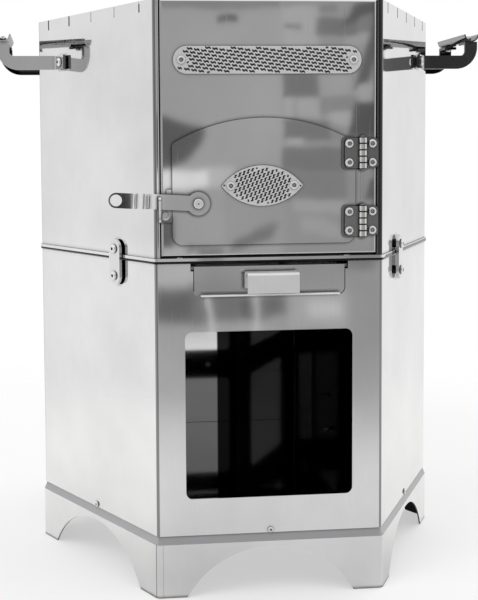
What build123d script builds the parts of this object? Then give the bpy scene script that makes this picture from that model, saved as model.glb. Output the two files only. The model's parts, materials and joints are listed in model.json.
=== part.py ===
from build123d import *
import os
from math import cos, radians, sin, sqrt, tan

# Wood-fired kazan stove of folded sheet steel: a hexagonal fire chamber with an overlay door, over an
# open ash box with a drawer, on an arched skirt. The pot hangs in the open top.
# Millimetres, +Z up. Everything is drawn about the hexagon's axis with the door facing -Y, and is moved
# along Y at the end, so that the origin lies on the ground under the middle of the outline.

# Hexagon and main heights
SIDE = 225.0  # side of the hexagon between its sharp corners
HEIGHT = 587.0  # top edge of the walls, where the pot sits
CHAMBER_H = 255.5  # from the underside of the fire chamber's floor tray to the top edge
SHEET = 1.5
CORNER_R = 4.0  # outer bend radius of the shells
HOLE_FIT = 0.05  # radial clearance of every shank in its hole
SEAT = 0.3  # gap between pieces that move past each other

# Base skirt
SKIRT_H = 53.5
SKIRT_OUT = 2.0  # how far the skirt stands outside the shells
BAND_H = 8.0  # height of the inward step above the skirt
UPSTAND_H = 10.5  # part of the skirt that stands inside the lower shell
RETURN_W = 10.0  # ledge that carries the base floor
ARCH_HALF_W = 84.0
ARCH_H = 48.5
FLOOR_GAP = 0.3  # between the base floor's edge and the shell
FLOOR_RIVET_U = 45.0
BASE_SCREW_UP = 2.9  # height of the screws above the shell's bottom edge

# Window in the lower shell
WINDOW_W = 167.2
WINDOW_BAR_H = 34.4  # sheet between the window and the drawer's opening
WINDOW_X = -0.6
WINDOW_UP = 36.4  # sill above the shell's bottom edge
WINDOW_R = 7.0

# Floor tray and grate
LIP_UP = 5.5  # height of the tray's rim from its underside
LIP_FIT = 0.15
TRAY_EDGE_R = 2.0
ASH_HOLE_R = 72.0
GRATE_R = 92.0
GRATE_T = 6.0
GRATE_SLOTS = 7
GRATE_SLOT_W = 9.0
GRATE_PITCH = 18.0
GRATE_SPIGOT_H = 3.0
GRATE_SPIGOT_T = 4.0

# Ash drawer, its runners and its pull
DRAWER_W = 145.0  # body between the runners
DRAWER_FRONT_W = 149.6
DRAWER_H = 29.0
DRAWER_TOP_DROP = 3.0  # from the tray's underside to the drawer's rim
DRAWER_L = 290.0
DRAWER_SHEET = 1.0
DRAWER_FLANGE = 5.0
DRAWER_R = 6.0  # lower corners of the front
DRAWER_BEND_R = 2.5  # lower edges of the body, which pass the rounded corners of the cut
DRAWER_LIP = 6.0
CUT_GAP = 0.8  # around the drawer in the shell
NOTCH_H = 7.5
RUNNER_W = 13.0  # flange riveted under the tray
RUNNER_LIP = 6.0
RUNNER_RIVET_INSET = 28.0
PULL_W = 50.6
PULL_OUT = 20.0
PULL_DROP = 5.0  # from the drawer's rim to the pull's top
PULL_H = 20.0
PULL_BACK_H = 17.0
PULL_R = 4.0
PULL_RIVET_X = 15.0
PULL_RIVET_UP = 6.0

# Front panel, held between two folded flanges of the upper shell
PANEL_HALF_W = 107.3
PANEL_FOLD = 14.0
PANEL_R = 3.0
PANEL_LIFT = 0.9  # gap above the tray's rim
PANEL_SIDE_FIT = 0.1
FLANGE_R = 1.5
PANEL_RIVET_PITCH = 90.0
SKEWER_SLOTS = 5
SKEWER_PITCH = 44.5
SKEWER_SLOT_W = 2.4
SKEWER_SLOT_H = 11.0

# Door
DOOR_X = -5.25
DOOR_HALF_W = 90.25
DOOR_UP = 12.1  # bottom edge above the front panel's bottom edge
DOOR_SIDE_H = 98.0
DOOR_RISE = 24.7  # rise of the arch over the sides
DOOR_R = 10.0
DOOR_SHOULDER_R = 5.0
DOOR_LAP = 8.0
RIVET_RELIEF = 1.5  # clearance in the panel round the hinge rivets' blind ends

# Hinges
HINGE_H = 31.5
HINGE_UP_LOW = 21.0  # middle of each hinge above the door's bottom edge
HINGE_UP_HIGH = 87.6
PIN_GAP = 6.8  # pin axis beyond the door's edge
PIN_OUT = 4.3  # pin axis in front of the panel
PIN_R = 2.0
PIN_FIT = 0.05
PIN_HEAD = 1.0
KNUCKLE_R = 4.0
KNUCKLES = 5
KNUCKLE_GAP = 0.3
LEAF_T = 1.5
DOOR_LEAF_W = 17.8
FRAME_LEAF_W = 16.4
LEAF_TRIM = 2.4  # the leaf is shorter than the barrel by this much
LEAF_R = 4.0
LEAF_CLEAR = 0.5
SHIM_T = 1.0
SHIM_SIDE = 2.5  # the shim shows around the leaf by this much
SHIM_RIM = 1.2
DOOR_LEAF_RIVET_INSET = 4.5
FRAME_LEAF_RIVET_INSET = 6.0
LEAF_RIVET_HALF = 9.2

# Latch
LATCH_X = -70.7
LATCH_UP = 40.15  # pivot above the door's bottom edge
LATCH_T = 2.5
LATCH_H = 14.6
LATCH_TILT = 3.5  # degrees that the ring end stands up on the keeper at rest
EYE_R = 11.3
RING_X = -151.0
RING_HOLE_R = 5.6
LATCH_BEND_1 = -119.0
LATCH_BEND_2 = -132.0
LATCH_RUN_1 = 5.0
LATCH_RUN_2 = 3.5
LATCH_STEP = 6.0
LATCH_BEND_R = 2.0
LATCH_BOLT_R = 3.0
LATCH_HEAD_R = 4.9
LATCH_HEAD_H = 2.4

# Keeper that the latch drops into
KEEPER_X = -109.0
KEEPER_T = 2.2
KEEPER_OUT = 16.0
KEEPER_H = 25.5
KEEPER_GAP = 0.4  # under and behind the lever
KEEPER_SLOT = 6.4
KEEPER_R = 4.0
KEEPER_BASE_H = 12.5
KEEPER_DOOR_GAP = 1.0
KEEPER_TAB_W = 4.7
KEEPER_TAB_H = 31.7
KEEPER_RIVET_X = -102.4

# Bare plates
HEADER_W = 184.9
HEADER_H = 26.7
HEADER_X = -1.3
HEADER_DROP = 58.5
HEADER_RIVET_INSET = 7.8
PLATE_T = 1.0
LENS_W = 80.3
LENS_H = 39.4
LENS_X = -7.5
LENS_UP = 56.9  # middle of the plate above the door's bottom edge
LENS_RIVET_INSET = 9.0

# Plates that join the two shells
JOIN_U = 47.0
JOIN_W = 19.0
JOIN_OVER = 9.5  # plate beyond its bolts
JOIN_UP = 11.3  # bolts above and below the tray's underside
JOIN_DOWN = 16.2
JOIN_T = 3.0
JOIN_SPACER_T = 2.2
JOIN_SPACER_R = 4.4

# Handles
ARM_Y = 40.0
ARM_T = 3.0
ARM_H = 15.0
ARM_DROP = 56.0  # arm's lower edge below the walls' top
ARM_L = 270.0  # from the axis to the arm's tip
ARM_TIP_W = 14.0
ARM_TIP_H = 30.5
ARM_OUT_R = 24.0
ARM_IN_R = 5.0
ARM_BEND_R = 4.5
ARM_TAB_L = 16.0  # length of the folded tab at the wall
ARM_WASHER_T = 2.0
ARM_WASHER_R = 6.0
ARM_BOLT_U = 58.0
ARM_SEAT_L = 16.5  # tab under the grip
GRIP_L = 86.0
GRIP_R = 8.5
GRIP_T = 1.5
GRIP_FLAT = 0.4

# Fasteners
RIVET_R = 2.0
RIVET_HEAD_R = 4.3
RIVET_HEAD_TOP_R = 2.9
RIVET_HEAD_H = 1.6
RIVET_BULB_R = 2.7
RIVET_BULB_H = 2.4
SCREW_R = 2.0
SCREW_HEAD_R = 3.0
SCREW_HEAD_H = 1.8
BOLT_R = 2.5
BOLT_HEAD_R = 4.8
BOLT_HEAD_H = 2.8
NUT_R_SMALL = 3.5  # half the width across flats
NUT_R_BIG = 4.0
NUT_R_PIVOT = 5.0
NUT_H = 3.2
END_OUT = 1.6  # shank beyond its nut
SHANK_SIDES = 6
HEAD_SIDES = 12

# Levels and distances that follow
ROOT3 = sqrt(3.0)
FACE = SIDE * ROOT3 / 2
WALL_IN = FACE - SHEET
SHELL_Z = SKIRT_H + BAND_H
FLOOR_Z = SHELL_Z + UPSTAND_H
SEAM_Z = HEIGHT - CHAMBER_H
CHAMBER_Z = SEAM_Z + SHEET
LIP_Z = SEAM_Z + LIP_UP
PANEL_Z = LIP_Z + PANEL_LIFT
DOOR_Z = PANEL_Z + DOOR_UP
DOOR_OUT = SEAT + SHEET
LATCH_Z = DOOR_Z + LATCH_UP
LATCH_OUT = DOOR_OUT + SEAT
LATCH_GRIP = SEAT + LATCH_T + SEAT + SHEET
KEEPER_TOP = LATCH_Z + (LATCH_X - KEEPER_X) * tan(radians(LATCH_TILT)) - LATCH_H / 2 - KEEPER_GAP
PIN_X = DOOR_X + DOOR_HALF_W + PIN_GAP
LEAF_OUT = DOOR_OUT + SHIM_T
HINGE_Z = {"lower": DOOR_Z + HINGE_UP_LOW, "upper": DOOR_Z + HINGE_UP_HIGH}
DRAWER_TOP = SEAM_Z - DRAWER_TOP_DROP
DRAWER_Z = DRAWER_TOP - DRAWER_H
WINDOW_Z = SHELL_Z + WINDOW_UP
WINDOW_H = DRAWER_Z - CUT_GAP - WINDOW_BAR_H - WINDOW_Z
ARM_Z = HEIGHT - ARM_DROP
GRIP_X = ARM_L - ARM_TIP_W / 2
GRIP_Z = ARM_Z + ARM_TIP_H
ARM_SEAT_Y = ARM_Y - ARM_T / 2 - ARM_SEAT_L / 2
DRILL = 9.0  # half length of a drill through the sheets at a fastener
FRONT = -90
SIDES = (-90, -30, 30, 90, 150, 210)
FLANKS = {"front_left": 210, "front_right": -30, "rear_left": 150, "rear_right": 30}
BASE = (Align.CENTER, Align.CENTER, Align.MIN)


# Shapes that repeat


def wall_plane(angle, out=0.0):
    """Plane on the wall whose outward normal points at this angle, local x level and local y up."""
    normal = Vector(cos(radians(angle)), sin(radians(angle)), 0)
    return Plane(origin=normal * (FACE + out), x_dir=(-normal.Y, normal.X, 0), z_dir=normal)


def on_wall(angle, across, height, out=0.0):
    """Place on a wall, with local z pointing out of it."""
    return wall_plane(angle, out).location * Pos(across, height)


def on_front(x, height, out=0.0):
    return on_wall(FRONT, x, height, out)


def hexagon(apothem):
    """Hexagon with corners at plus and minus X, bent at radii that follow the shells' corner."""
    outline = RegularPolygon(apothem, 6, major_radius=False)
    return fillet(outline.vertices(), max(CORNER_R + apothem - FACE, SHEET / 2))


def hex_ring(apothem, width, low, high):
    return Pos(0, 0, low) * extrude(hexagon(apothem) - hexagon(apothem - width), high - low)


def rod(radius, low, high):
    return Pos(0, 0, low) * Cylinder(radius, high - low, align=BASE)


def shank(radius, low, high):
    """Hidden shank, or the hole for one, with few flat sides to keep the model light."""
    return Pos(0, 0, low) * extrude(RegularPolygon(radius, SHANK_SIDES), high - low)


def disc(low_radius, high_radius, low, high):
    """Head of a fastener, with flat sides for the same reason."""
    ends = [Pos(0, 0, low) * RegularPolygon(low_radius, HEAD_SIDES)]
    ends.append(Pos(0, 0, high) * RegularPolygon(high_radius, HEAD_SIDES))
    return loft(ends, ruled=True)


def drilled(body, spots, radius):
    """Clearance holes through the sheets at each spot."""
    for spot in spots:
        body -= spot * shank(radius + HOLE_FIT, -DRILL, DRILL)
    return body


def rivet(grip):
    head = disc(RIVET_HEAD_R, RIVET_HEAD_TOP_R, 0, RIVET_HEAD_H)
    bulb_low = Pos(0, 0, -grip - RIVET_BULB_H) * RegularPolygon(RIVET_BULB_R, SHANK_SIDES)
    bulb_top = Pos(0, 0, -grip) * RegularPolygon(RIVET_R, SHANK_SIDES)
    return head + shank(RIVET_R, -grip, 0) + loft([bulb_low, bulb_top], ruled=True)


def screw(radius, head_radius, head_height, grip):
    """Screw through a grip, long enough for its nut."""
    return disc(head_radius, head_radius, 0, head_height) + shank(radius, -grip - NUT_H - END_OUT, 0)


def nut(flat_radius, bore_radius, grip):
    """Nut on the far side of a grip, its bore in contact with the screw's thread."""
    outline = RegularPolygon(flat_radius, 6, major_radius=False)
    block = Pos(0, 0, -grip - NUT_H) * extrude(outline, NUT_H)
    return block - shank(bore_radius, -grip - NUT_H, -grip)


def ring(outer, bore, thickness):
    return disc(outer, outer, 0, thickness) - shank(bore, 0, thickness)


def group(shape, spots):
    return Compound([spot * shape for spot in spots])


# Places of the fasteners


def base_screw_spots():
    return [on_wall(angle, 0, SHELL_Z + BASE_SCREW_UP) for angle in SIDES]


def floor_rivet_spots():
    middle = -SHEET - SHEET - RETURN_W / 2
    spots = []
    for angle in SIDES:
        place = on_wall(angle, FLOOR_RIVET_U, 0, middle).position
        spots.append(Pos(place.X, place.Y, FLOOR_Z + SHEET))
    return spots


def runner_x():
    """Inner face of the runner's web, which the drawer's rim slides beside."""
    return DRAWER_W / 2 + DRAWER_FLANGE + CUT_GAP


def runner_rivet_spots():
    x = runner_x() + SHEET + (RUNNER_W - SHEET) / 2
    rows = (-WALL_IN + RUNNER_RIVET_INSET, -WALL_IN + DRAWER_L - RUNNER_RIVET_INSET)
    return [Pos(side * x, y, CHAMBER_Z) for side in (-1, 1) for y in rows]


def pull_rivet_spots():
    height = DRAWER_TOP - PULL_DROP - PULL_H + PULL_RIVET_UP
    return [on_front(side * PULL_RIVET_X, height, SHEET) for side in (-1, 1)]


def panel_rivet_spots():
    """Rivets through the front panel's side folds, seen only from inside the fire chamber."""
    middle = (PANEL_Z + HEIGHT) / 2
    y = -FACE + PANEL_FOLD / 2 + PANEL_R / 2
    x = PANEL_HALF_W - SHEET
    spots = []
    for row in (-1, 0, 1):
        height = middle + row * PANEL_RIVET_PITCH
        spots.append(Pos(-x, y, height) * Rot(0, 90, 0))
        spots.append(Pos(x, y, height) * Rot(0, -90, 0))
    return spots


def leaf_rivet_spots(x, out):
    rows = [HINGE_Z[name] + side * LEAF_RIVET_HALF for name in HINGE_Z for side in (-1, 1)]
    return [on_front(x, height, out) for height in rows]


DOOR_LEAF_RIVETS = leaf_rivet_spots(PIN_X - DOOR_LEAF_W + DOOR_LEAF_RIVET_INSET, LEAF_OUT + LEAF_T)
FRAME_LEAF_RIVETS = leaf_rivet_spots(PIN_X + FRAME_LEAF_W - FRAME_LEAF_RIVET_INSET, LEAF_T)
KEEPER_RIVET = [on_front(KEEPER_RIVET_X, KEEPER_TOP - KEEPER_BASE_H / 2, SHEET)]
LATCH_PIVOT = on_front(LATCH_X, LATCH_Z, LATCH_OUT + LATCH_T + SEAT)


def header_rivet_spots():
    half = HEADER_W / 2 - HEADER_RIVET_INSET
    return [on_front(HEADER_X + side * half, HEIGHT - HEADER_DROP, PLATE_T) for side in (-1, 1)]


def lens_rivet_spots():
    half = LENS_W / 2 - LENS_RIVET_INSET
    return [on_front(LENS_X + side * half, DOOR_Z + LENS_UP, DOOR_OUT + PLATE_T) for side in (-1, 1)]


def join_across(angle):
    """The join plates stand nearer to the front and rear corners than to the side corners."""
    return JOIN_U if angle in (210, 30) else -JOIN_U


def join_bolt_spots(out):
    rows = (SEAM_Z + JOIN_UP, SEAM_Z - JOIN_DOWN)
    return [on_wall(angle, join_across(angle), z, out) for angle in FLANKS.values() for z in rows]


def arm_bolt_spots(out):
    height = ARM_Z + ARM_H / 2
    spots = []
    for angle in FLANKS.values():
        across = -ARM_BOLT_U if join_across(angle) > 0 else ARM_BOLT_U
        spots.append(on_wall(angle, across, height, out))
    return spots


def grip_screw_spots(height):
    return [Pos(x, y, height) for x in (-GRIP_X, GRIP_X) for y in (-ARM_SEAT_Y, ARM_SEAT_Y)]


# Base


def skirt_step(apothem):
    low = hexagon(apothem)
    high = hexagon(apothem - SKIRT_OUT - SHEET)
    return loft([Pos(0, 0, SKIRT_H) * low, Pos(0, 0, SHELL_Z) * high], ruled=True)


def make_base_skirt():
    skirt = hex_ring(FACE + SKIRT_OUT, SHEET, 0, SKIRT_H)
    skirt += skirt_step(FACE + SKIRT_OUT) - skirt_step(FACE + SKIRT_OUT - SHEET)
    skirt += hex_ring(WALL_IN, SHEET, SHELL_Z, FLOOR_Z)
    skirt += hex_ring(WALL_IN, SHEET + RETURN_W, FLOOR_Z - SHEET, FLOOR_Z)
    radius = (ARCH_HALF_W**2 + ARCH_H**2) / (2 * ARCH_H)
    for angle in SIDES:
        skirt -= on_wall(angle, 0, ARCH_H - radius, -DRILL) * rod(radius, 0, 2 * DRILL)
    skirt = drilled(skirt, base_screw_spots(), SCREW_R)
    return drilled(skirt, floor_rivet_spots(), RIVET_R)


def make_base_floor():
    plate = Pos(0, 0, FLOOR_Z) * extrude(hexagon(WALL_IN - FLOOR_GAP), SHEET)
    return drilled(plate, floor_rivet_spots(), RIVET_R)


# Lower shell


def drawer_cut():
    """Opening for the drawer's front, with a notch at each side for its rim."""
    half = DRAWER_FRONT_W / 2 + CUT_GAP
    low = DRAWER_Z - CUT_GAP
    cut = Pos(0, (low + SEAM_Z) / 2) * Rectangle(2 * half, SEAM_Z - low)
    cut = fillet(cut.vertices().group_by(Axis.Y)[0], DRAWER_R + CUT_GAP)
    cut += Pos(0, SEAM_Z - NOTCH_H / 2) * Rectangle(2 * runner_x(), NOTCH_H)
    return extrude(wall_plane(FRONT) * cut, DRILL, both=True)


def make_lower_shell():
    shell = hex_ring(FACE, SHEET, SHELL_Z, SEAM_Z)
    window = RectangleRounded(WINDOW_W, WINDOW_H, WINDOW_R)
    middle = on_front(WINDOW_X, WINDOW_Z + WINDOW_H / 2)
    shell -= extrude(middle * window, DRILL, both=True)
    shell -= drawer_cut()
    shell = drilled(shell, base_screw_spots(), SCREW_R)
    return drilled(shell, join_bolt_spots(0)[1::2], BOLT_R)


# Floor tray and grate


def make_floor_tray():
    rim = FACE + LIP_FIT + SHEET
    tray = Pos(0, 0, SEAM_Z) * extrude(hexagon(rim), LIP_UP)
    tray = fillet(tray.edges().group_by(Axis.Z)[0], TRAY_EDGE_R)
    tray -= Pos(0, 0, CHAMBER_Z) * extrude(hexagon(rim - SHEET), LIP_UP)
    tray -= rod(ASH_HOLE_R, SEAM_Z - SHEET, CHAMBER_Z + SHEET)
    return drilled(tray, runner_rivet_spots(), RIVET_R)


def make_fire_grate():
    grate = rod(GRATE_R, CHAMBER_Z, CHAMBER_Z + GRATE_T)
    inside = ASH_HOLE_R - CUT_GAP - GRATE_SPIGOT_T
    spigot = rod(ASH_HOLE_R - CUT_GAP, CHAMBER_Z - GRATE_SPIGOT_H, CHAMBER_Z)
    grate += spigot - rod(inside, CHAMBER_Z - GRATE_SPIGOT_H, CHAMBER_Z)
    for number in range(GRATE_SLOTS):
        y = (number - (GRATE_SLOTS - 1) / 2) * GRATE_PITCH
        half = sqrt(inside**2 - (abs(y) + GRATE_SLOT_W / 2) ** 2)
        slot = Pos(0, y, CHAMBER_Z) * Rectangle(2 * half, GRATE_SLOT_W)
        grate -= extrude(slot, 2 * GRATE_T, both=True)
    return grate


# Ash drawer


def make_runner(side):
    """Rail of folded sheet under the tray, with a lip below the drawer's rim and a stop at its rear."""
    web = runner_x()
    rail_low = DRAWER_TOP - DRAWER_SHEET - SEAT
    front = -WALL_IN + SEAT
    rear = -WALL_IN + DRAWER_L + SEAT + SHEET
    profile = Pos(web + RUNNER_W / 2, SEAM_Z - SHEET / 2) * Rectangle(RUNNER_W, SHEET)
    web_h = SEAM_Z - rail_low + SHEET
    profile += Pos(web + SHEET / 2, SEAM_Z - web_h / 2) * Rectangle(SHEET, web_h)
    profile += Pos(web + SHEET - RUNNER_LIP / 2, rail_low - SHEET / 2) * Rectangle(RUNNER_LIP, SHEET)
    rail = extrude(Plane.XZ * profile, rear - front)
    rail = Pos(0, rear, 0) * rail
    stop_w = RUNNER_LIP - SHEET
    stop = Box(stop_w, SHEET, DRAWER_TOP - rail_low, align=BASE)
    rail += Pos(web - stop_w / 2, rear - SHEET / 2, rail_low) * stop
    rail = drilled(rail, runner_rivet_spots()[2:], RIVET_R)
    return rail if side > 0 else mirror(rail, about=Plane.YZ)


def make_ash_drawer():
    """Open tray with its rim folded outwards, a front set flush in the shell and a lip along its foot."""
    wall = DRAWER_SHEET
    back = -WALL_IN
    middle = back + DRAWER_L / 2
    body = Pos(0, middle, DRAWER_Z) * Box(DRAWER_W, DRAWER_L, DRAWER_H, align=BASE)
    body = fillet(body.edges().filter_by(Axis.Y).group_by(Axis.Z)[0], DRAWER_BEND_R)
    inside = Pos(0, middle, DRAWER_Z + wall) * Box(DRAWER_W - 2 * wall, DRAWER_L - 2 * wall, DRAWER_H, align=BASE)
    body -= fillet(inside.edges().filter_by(Axis.Y).group_by(Axis.Z)[0], DRAWER_BEND_R - wall)
    for side in (-1, 1):
        x = side * (DRAWER_W / 2 + DRAWER_FLANGE / 2)
        body += Pos(x, middle, DRAWER_TOP - wall) * Box(DRAWER_FLANGE, DRAWER_L, wall, align=BASE)
    front = Pos(0, DRAWER_Z + DRAWER_H / 2) * Rectangle(DRAWER_FRONT_W, DRAWER_H)
    front = fillet(front.vertices().group_by(Axis.Y)[0], DRAWER_R)
    body += extrude(wall_plane(FRONT) * front, -SHEET)
    lip_w = DRAWER_FRONT_W - 2 * DRAWER_R
    body += Pos(0, -FACE - DRAWER_LIP / 2, DRAWER_Z) * Box(lip_w, DRAWER_LIP, SHEET, align=BASE)
    return drilled(body, pull_rivet_spots(), RIVET_R)


def make_drawer_pull():
    """Folded channel, open at its sides and below, for the fingers."""
    top = DRAWER_TOP - PULL_DROP
    out = FACE + PULL_OUT
    block = Pos(0, -(FACE + out) / 2, top - PULL_H) * Box(PULL_W, PULL_OUT, PULL_H, align=BASE)
    block = fillet(block.edges().filter_by(Axis.X).sort_by(Axis.Z)[-2:], PULL_R)
    inner = Pos(0, -(FACE + out) / 2, top - PULL_H - SHEET)
    hollow = inner * Box(PULL_W, PULL_OUT - 2 * SHEET, PULL_H, align=BASE)
    hollow = fillet(hollow.edges().filter_by(Axis.X).sort_by(Axis.Z)[-2:], PULL_R - SHEET)
    pull = block - hollow
    trim = PULL_H - PULL_BACK_H
    pull -= Pos(0, -FACE - SHEET, top - PULL_H) * Box(PULL_W, 2 * SHEET, trim, align=BASE)
    return drilled(pull, pull_rivet_spots(), RIVET_R)


# Upper shell and front panel


def upper_outline():
    """Hexagonal wall, open at the front, with a flange folded back at each front corner."""
    gap = 2 * (PANEL_HALF_W + PANEL_SIDE_FIT)
    outline = hexagon(FACE) - hexagon(WALL_IN)
    outline -= Pos(0, -FACE) * Rectangle(gap, 4 * SHEET)
    for side in (-1, 1):
        x = side * (gap / 2 + SHEET / 2)
        outline += Pos(x, -FACE + PANEL_FOLD / 2) * Rectangle(SHEET, PANEL_FOLD)
    edge = [v for v in outline.vertices() if abs(v.Y + FACE) < SHEET / 2 and abs(abs(v.X) - gap / 2) < SHEET / 2]
    return fillet(edge, FLANGE_R)


def make_upper_shell():
    shell = Pos(0, 0, CHAMBER_Z) * extrude(upper_outline(), HEIGHT - CHAMBER_Z)
    slot = Rectangle(SKEWER_SLOT_W, 2 * SKEWER_SLOT_H)
    for angle in FLANKS.values():
        for number in range(SKEWER_SLOTS):
            across = (number - (SKEWER_SLOTS - 1) / 2) * SKEWER_PITCH
            shell -= extrude(on_wall(angle, across, HEIGHT) * slot, DRILL, both=True)
    shell = drilled(shell, join_bolt_spots(0)[0::2], BOLT_R)
    shell = drilled(shell, arm_bolt_spots(0), BOLT_R)
    return drilled(shell, panel_rivet_spots(), RIVET_R)


def arch(inset):
    """Outline of the door, or of the opening behind it when inset."""
    left = DOOR_X - DOOR_HALF_W + inset
    right = DOOR_X + DOOR_HALF_W - inset
    low = DOOR_Z + inset
    spring = DOOR_Z + DOOR_SIDE_H
    radius = (DOOR_HALF_W**2 + DOOR_RISE**2) / (2 * DOOR_RISE) - inset
    centre = spring + DOOR_RISE - inset - radius
    outline = Pos((left + right) / 2, (low + spring + DOOR_RISE) / 2)
    outline *= Rectangle(right - left, spring + DOOR_RISE - low)
    outline &= Pos(DOOR_X, centre) * Circle(radius)
    rows = outline.vertices().group_by(Axis.Y)
    outline = fillet(rows[0], DOOR_R)
    shoulders = [v for v in outline.vertices() if v.Y > spring - DOOR_SIDE_H / 4]
    return fillet(shoulders, DOOR_SHOULDER_R)


def make_front_panel():
    """Shallow tray with all four edges folded back, its face flush with the shell's corners."""
    high = HEIGHT - PANEL_Z
    middle = on_front(0, PANEL_Z + high / 2, -PANEL_FOLD)
    panel = Box(2 * PANEL_HALF_W, high, PANEL_FOLD, align=BASE)
    panel = fillet(panel.faces().sort_by(Axis.Z)[-1].edges(), PANEL_R)
    hollow = Pos(0, 0, -SHEET) * Box(2 * (PANEL_HALF_W - SHEET), high - 2 * SHEET, PANEL_FOLD, align=BASE)
    hollow = fillet(hollow.faces().sort_by(Axis.Z)[-1].edges(), PANEL_R - SHEET)
    panel = middle * (panel - hollow)
    panel -= extrude(wall_plane(FRONT) * arch(DOOR_LAP), 2 * SHEET, both=True)
    for spot in DOOR_LEAF_RIVETS:
        panel -= spot * rod(RIVET_BULB_R + RIVET_RELIEF, -DRILL, DRILL)
    for spots in (FRAME_LEAF_RIVETS, KEEPER_RIVET, header_rivet_spots(), panel_rivet_spots()):
        panel = drilled(panel, spots, RIVET_R)
    return panel


def make_header_plate():
    plate = extrude(on_front(HEADER_X, HEIGHT - HEADER_DROP) * SlotOverall(HEADER_W, HEADER_H), PLATE_T)
    return drilled(plate, header_rivet_spots(), RIVET_R)


# Door


def make_door():
    door = extrude(wall_plane(FRONT, SEAT) * arch(0), SHEET)
    door = drilled(door, DOOR_LEAF_RIVETS + lens_rivet_spots(), RIVET_R)
    return door - LATCH_PIVOT * rod(LATCH_BOLT_R + HOLE_FIT, -DRILL, DRILL)


def make_door_plate():
    """Bare plate shaped like a lens, from two equal arcs."""
    radius = ((LENS_W / 2) ** 2 + (LENS_H / 2) ** 2) / LENS_H
    offset_y = radius - LENS_H / 2
    lens = Pos(0, -offset_y) * Circle(radius) & Pos(0, offset_y) * Circle(radius)
    plate = extrude(on_front(LENS_X, DOOR_Z + LENS_UP, DOOR_OUT) * lens, PLATE_T)
    return drilled(plate, lens_rivet_spots(), RIVET_R)


# Hinges


def knuckle_span(number, middle):
    step = HINGE_H / KNUCKLES
    low = middle - HINGE_H / 2 + number * step
    return low + KNUCKLE_GAP / 2, low + step - KNUCKLE_GAP / 2


def make_leaf(side, width, out, middle, first, rivets):
    """Leaf with its share of the knuckles; side is 1 towards +X of the pin and -1 towards the door."""
    high = HINGE_H - LEAF_TRIM
    sheet = Rectangle(width, high)
    far = sheet.vertices().group_by(Axis.X)[-1 if side > 0 else 0]
    leaf = extrude(on_front(PIN_X + side * width / 2, middle, out) * fillet(far, LEAF_R), LEAF_T)
    axis = Pos(PIN_X, -FACE - PIN_OUT, 0)
    for number in range(KNUCKLES):
        low, top = knuckle_span(number, middle)
        if number % 2 == first:
            leaf += axis * rod(KNUCKLE_R, low, top)
        else:
            leaf -= axis * rod(KNUCKLE_R + LEAF_CLEAR, low - KNUCKLE_GAP, top + KNUCKLE_GAP)
    leaf -= axis * rod(PIN_R + PIN_FIT, middle - HINGE_H, middle + HINGE_H)
    return drilled(leaf, rivets, RIVET_R)


def make_shim(middle):
    """Backing plate under the door leaf, a little larger than the leaf."""
    right = DOOR_X + DOOR_HALF_W
    left = PIN_X - DOOR_LEAF_W - SHIM_SIDE
    plate = Rectangle(right - left, HINGE_H - LEAF_TRIM + 2 * SHIM_RIM)
    plate = fillet(plate.vertices().group_by(Axis.X)[0], LEAF_R)
    shim = extrude(on_front((left + right) / 2, middle, DOOR_OUT) * plate, SHIM_T)
    return drilled(shim, DOOR_LEAF_RIVETS, RIVET_R)


def make_pin(middle):
    half = HINGE_H / 2
    pin = rod(PIN_R, middle - half, middle + half)
    for low in (middle - half - PIN_HEAD, middle + half):
        pin += rod(PIN_R + PIN_HEAD, low, low + PIN_HEAD)
    return Pos(PIN_X, -FACE - PIN_OUT, 0) * pin


# Latch


def lever_outline():
    """Front view of the lever: the eye on its pivot, the strip and the ring."""
    strip = Pos((LATCH_X + RING_X) / 2, LATCH_Z) * Rectangle(LATCH_X - RING_X, LATCH_H)
    outline = strip + Pos(LATCH_X, LATCH_Z) * Circle(EYE_R) + Pos(RING_X, LATCH_Z) * Circle(LATCH_H / 2)
    outline -= Pos(LATCH_X, LATCH_Z) * Circle(LATCH_BOLT_R + HOLE_FIT)
    return outline - Pos(RING_X, LATCH_Z) * Circle(RING_HOLE_R)


def make_latch_lever():
    """Flat strip, stepped out twice so that its ring stands clear of the panel."""
    out = LATCH_OUT
    points = [
        (LATCH_X + 2 * EYE_R, out),
        (LATCH_BEND_1, out),
        (LATCH_BEND_1 - LATCH_RUN_1, out + LATCH_STEP),
        (LATCH_BEND_2, out + LATCH_STEP),
        (LATCH_BEND_2 - LATCH_RUN_2, out + 2 * LATCH_STEP),
        (RING_X - LATCH_H, out + 2 * LATCH_STEP),
    ]
    side_view = offset(FilletPolyline(*points, radius=LATCH_BEND_R), LATCH_T, side=Side.RIGHT, closed=True)
    high = 2 * EYE_R
    plan = Plane(origin=(0, -FACE, LATCH_Z), x_dir=(1, 0, 0), z_dir=(0, 0, -1))
    strip = extrude(plan * make_face(side_view.edges()), high, both=True)
    reach = out + 2 * LATCH_STEP + 2 * LATCH_T
    lever = strip & extrude(wall_plane(FRONT) * lever_outline(), reach)
    return LATCH_PIVOT * Rot(0, 0, -LATCH_TILT) * LATCH_PIVOT.inverse() * lever


def make_latch_bolt():
    """Round pivot, with a little play under its head for the lever."""
    bolt = rod(LATCH_HEAD_R, 0, LATCH_HEAD_H) + rod(LATCH_BOLT_R, -LATCH_GRIP - NUT_H - END_OUT, 0)
    return LATCH_PIVOT * bolt


def make_latch_nut():
    outline = RegularPolygon(NUT_R_PIVOT, 6, major_radius=False) - Circle(LATCH_BOLT_R)
    return LATCH_PIVOT * Pos(0, 0, -LATCH_GRIP - NUT_H) * extrude(outline, NUT_H)


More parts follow.
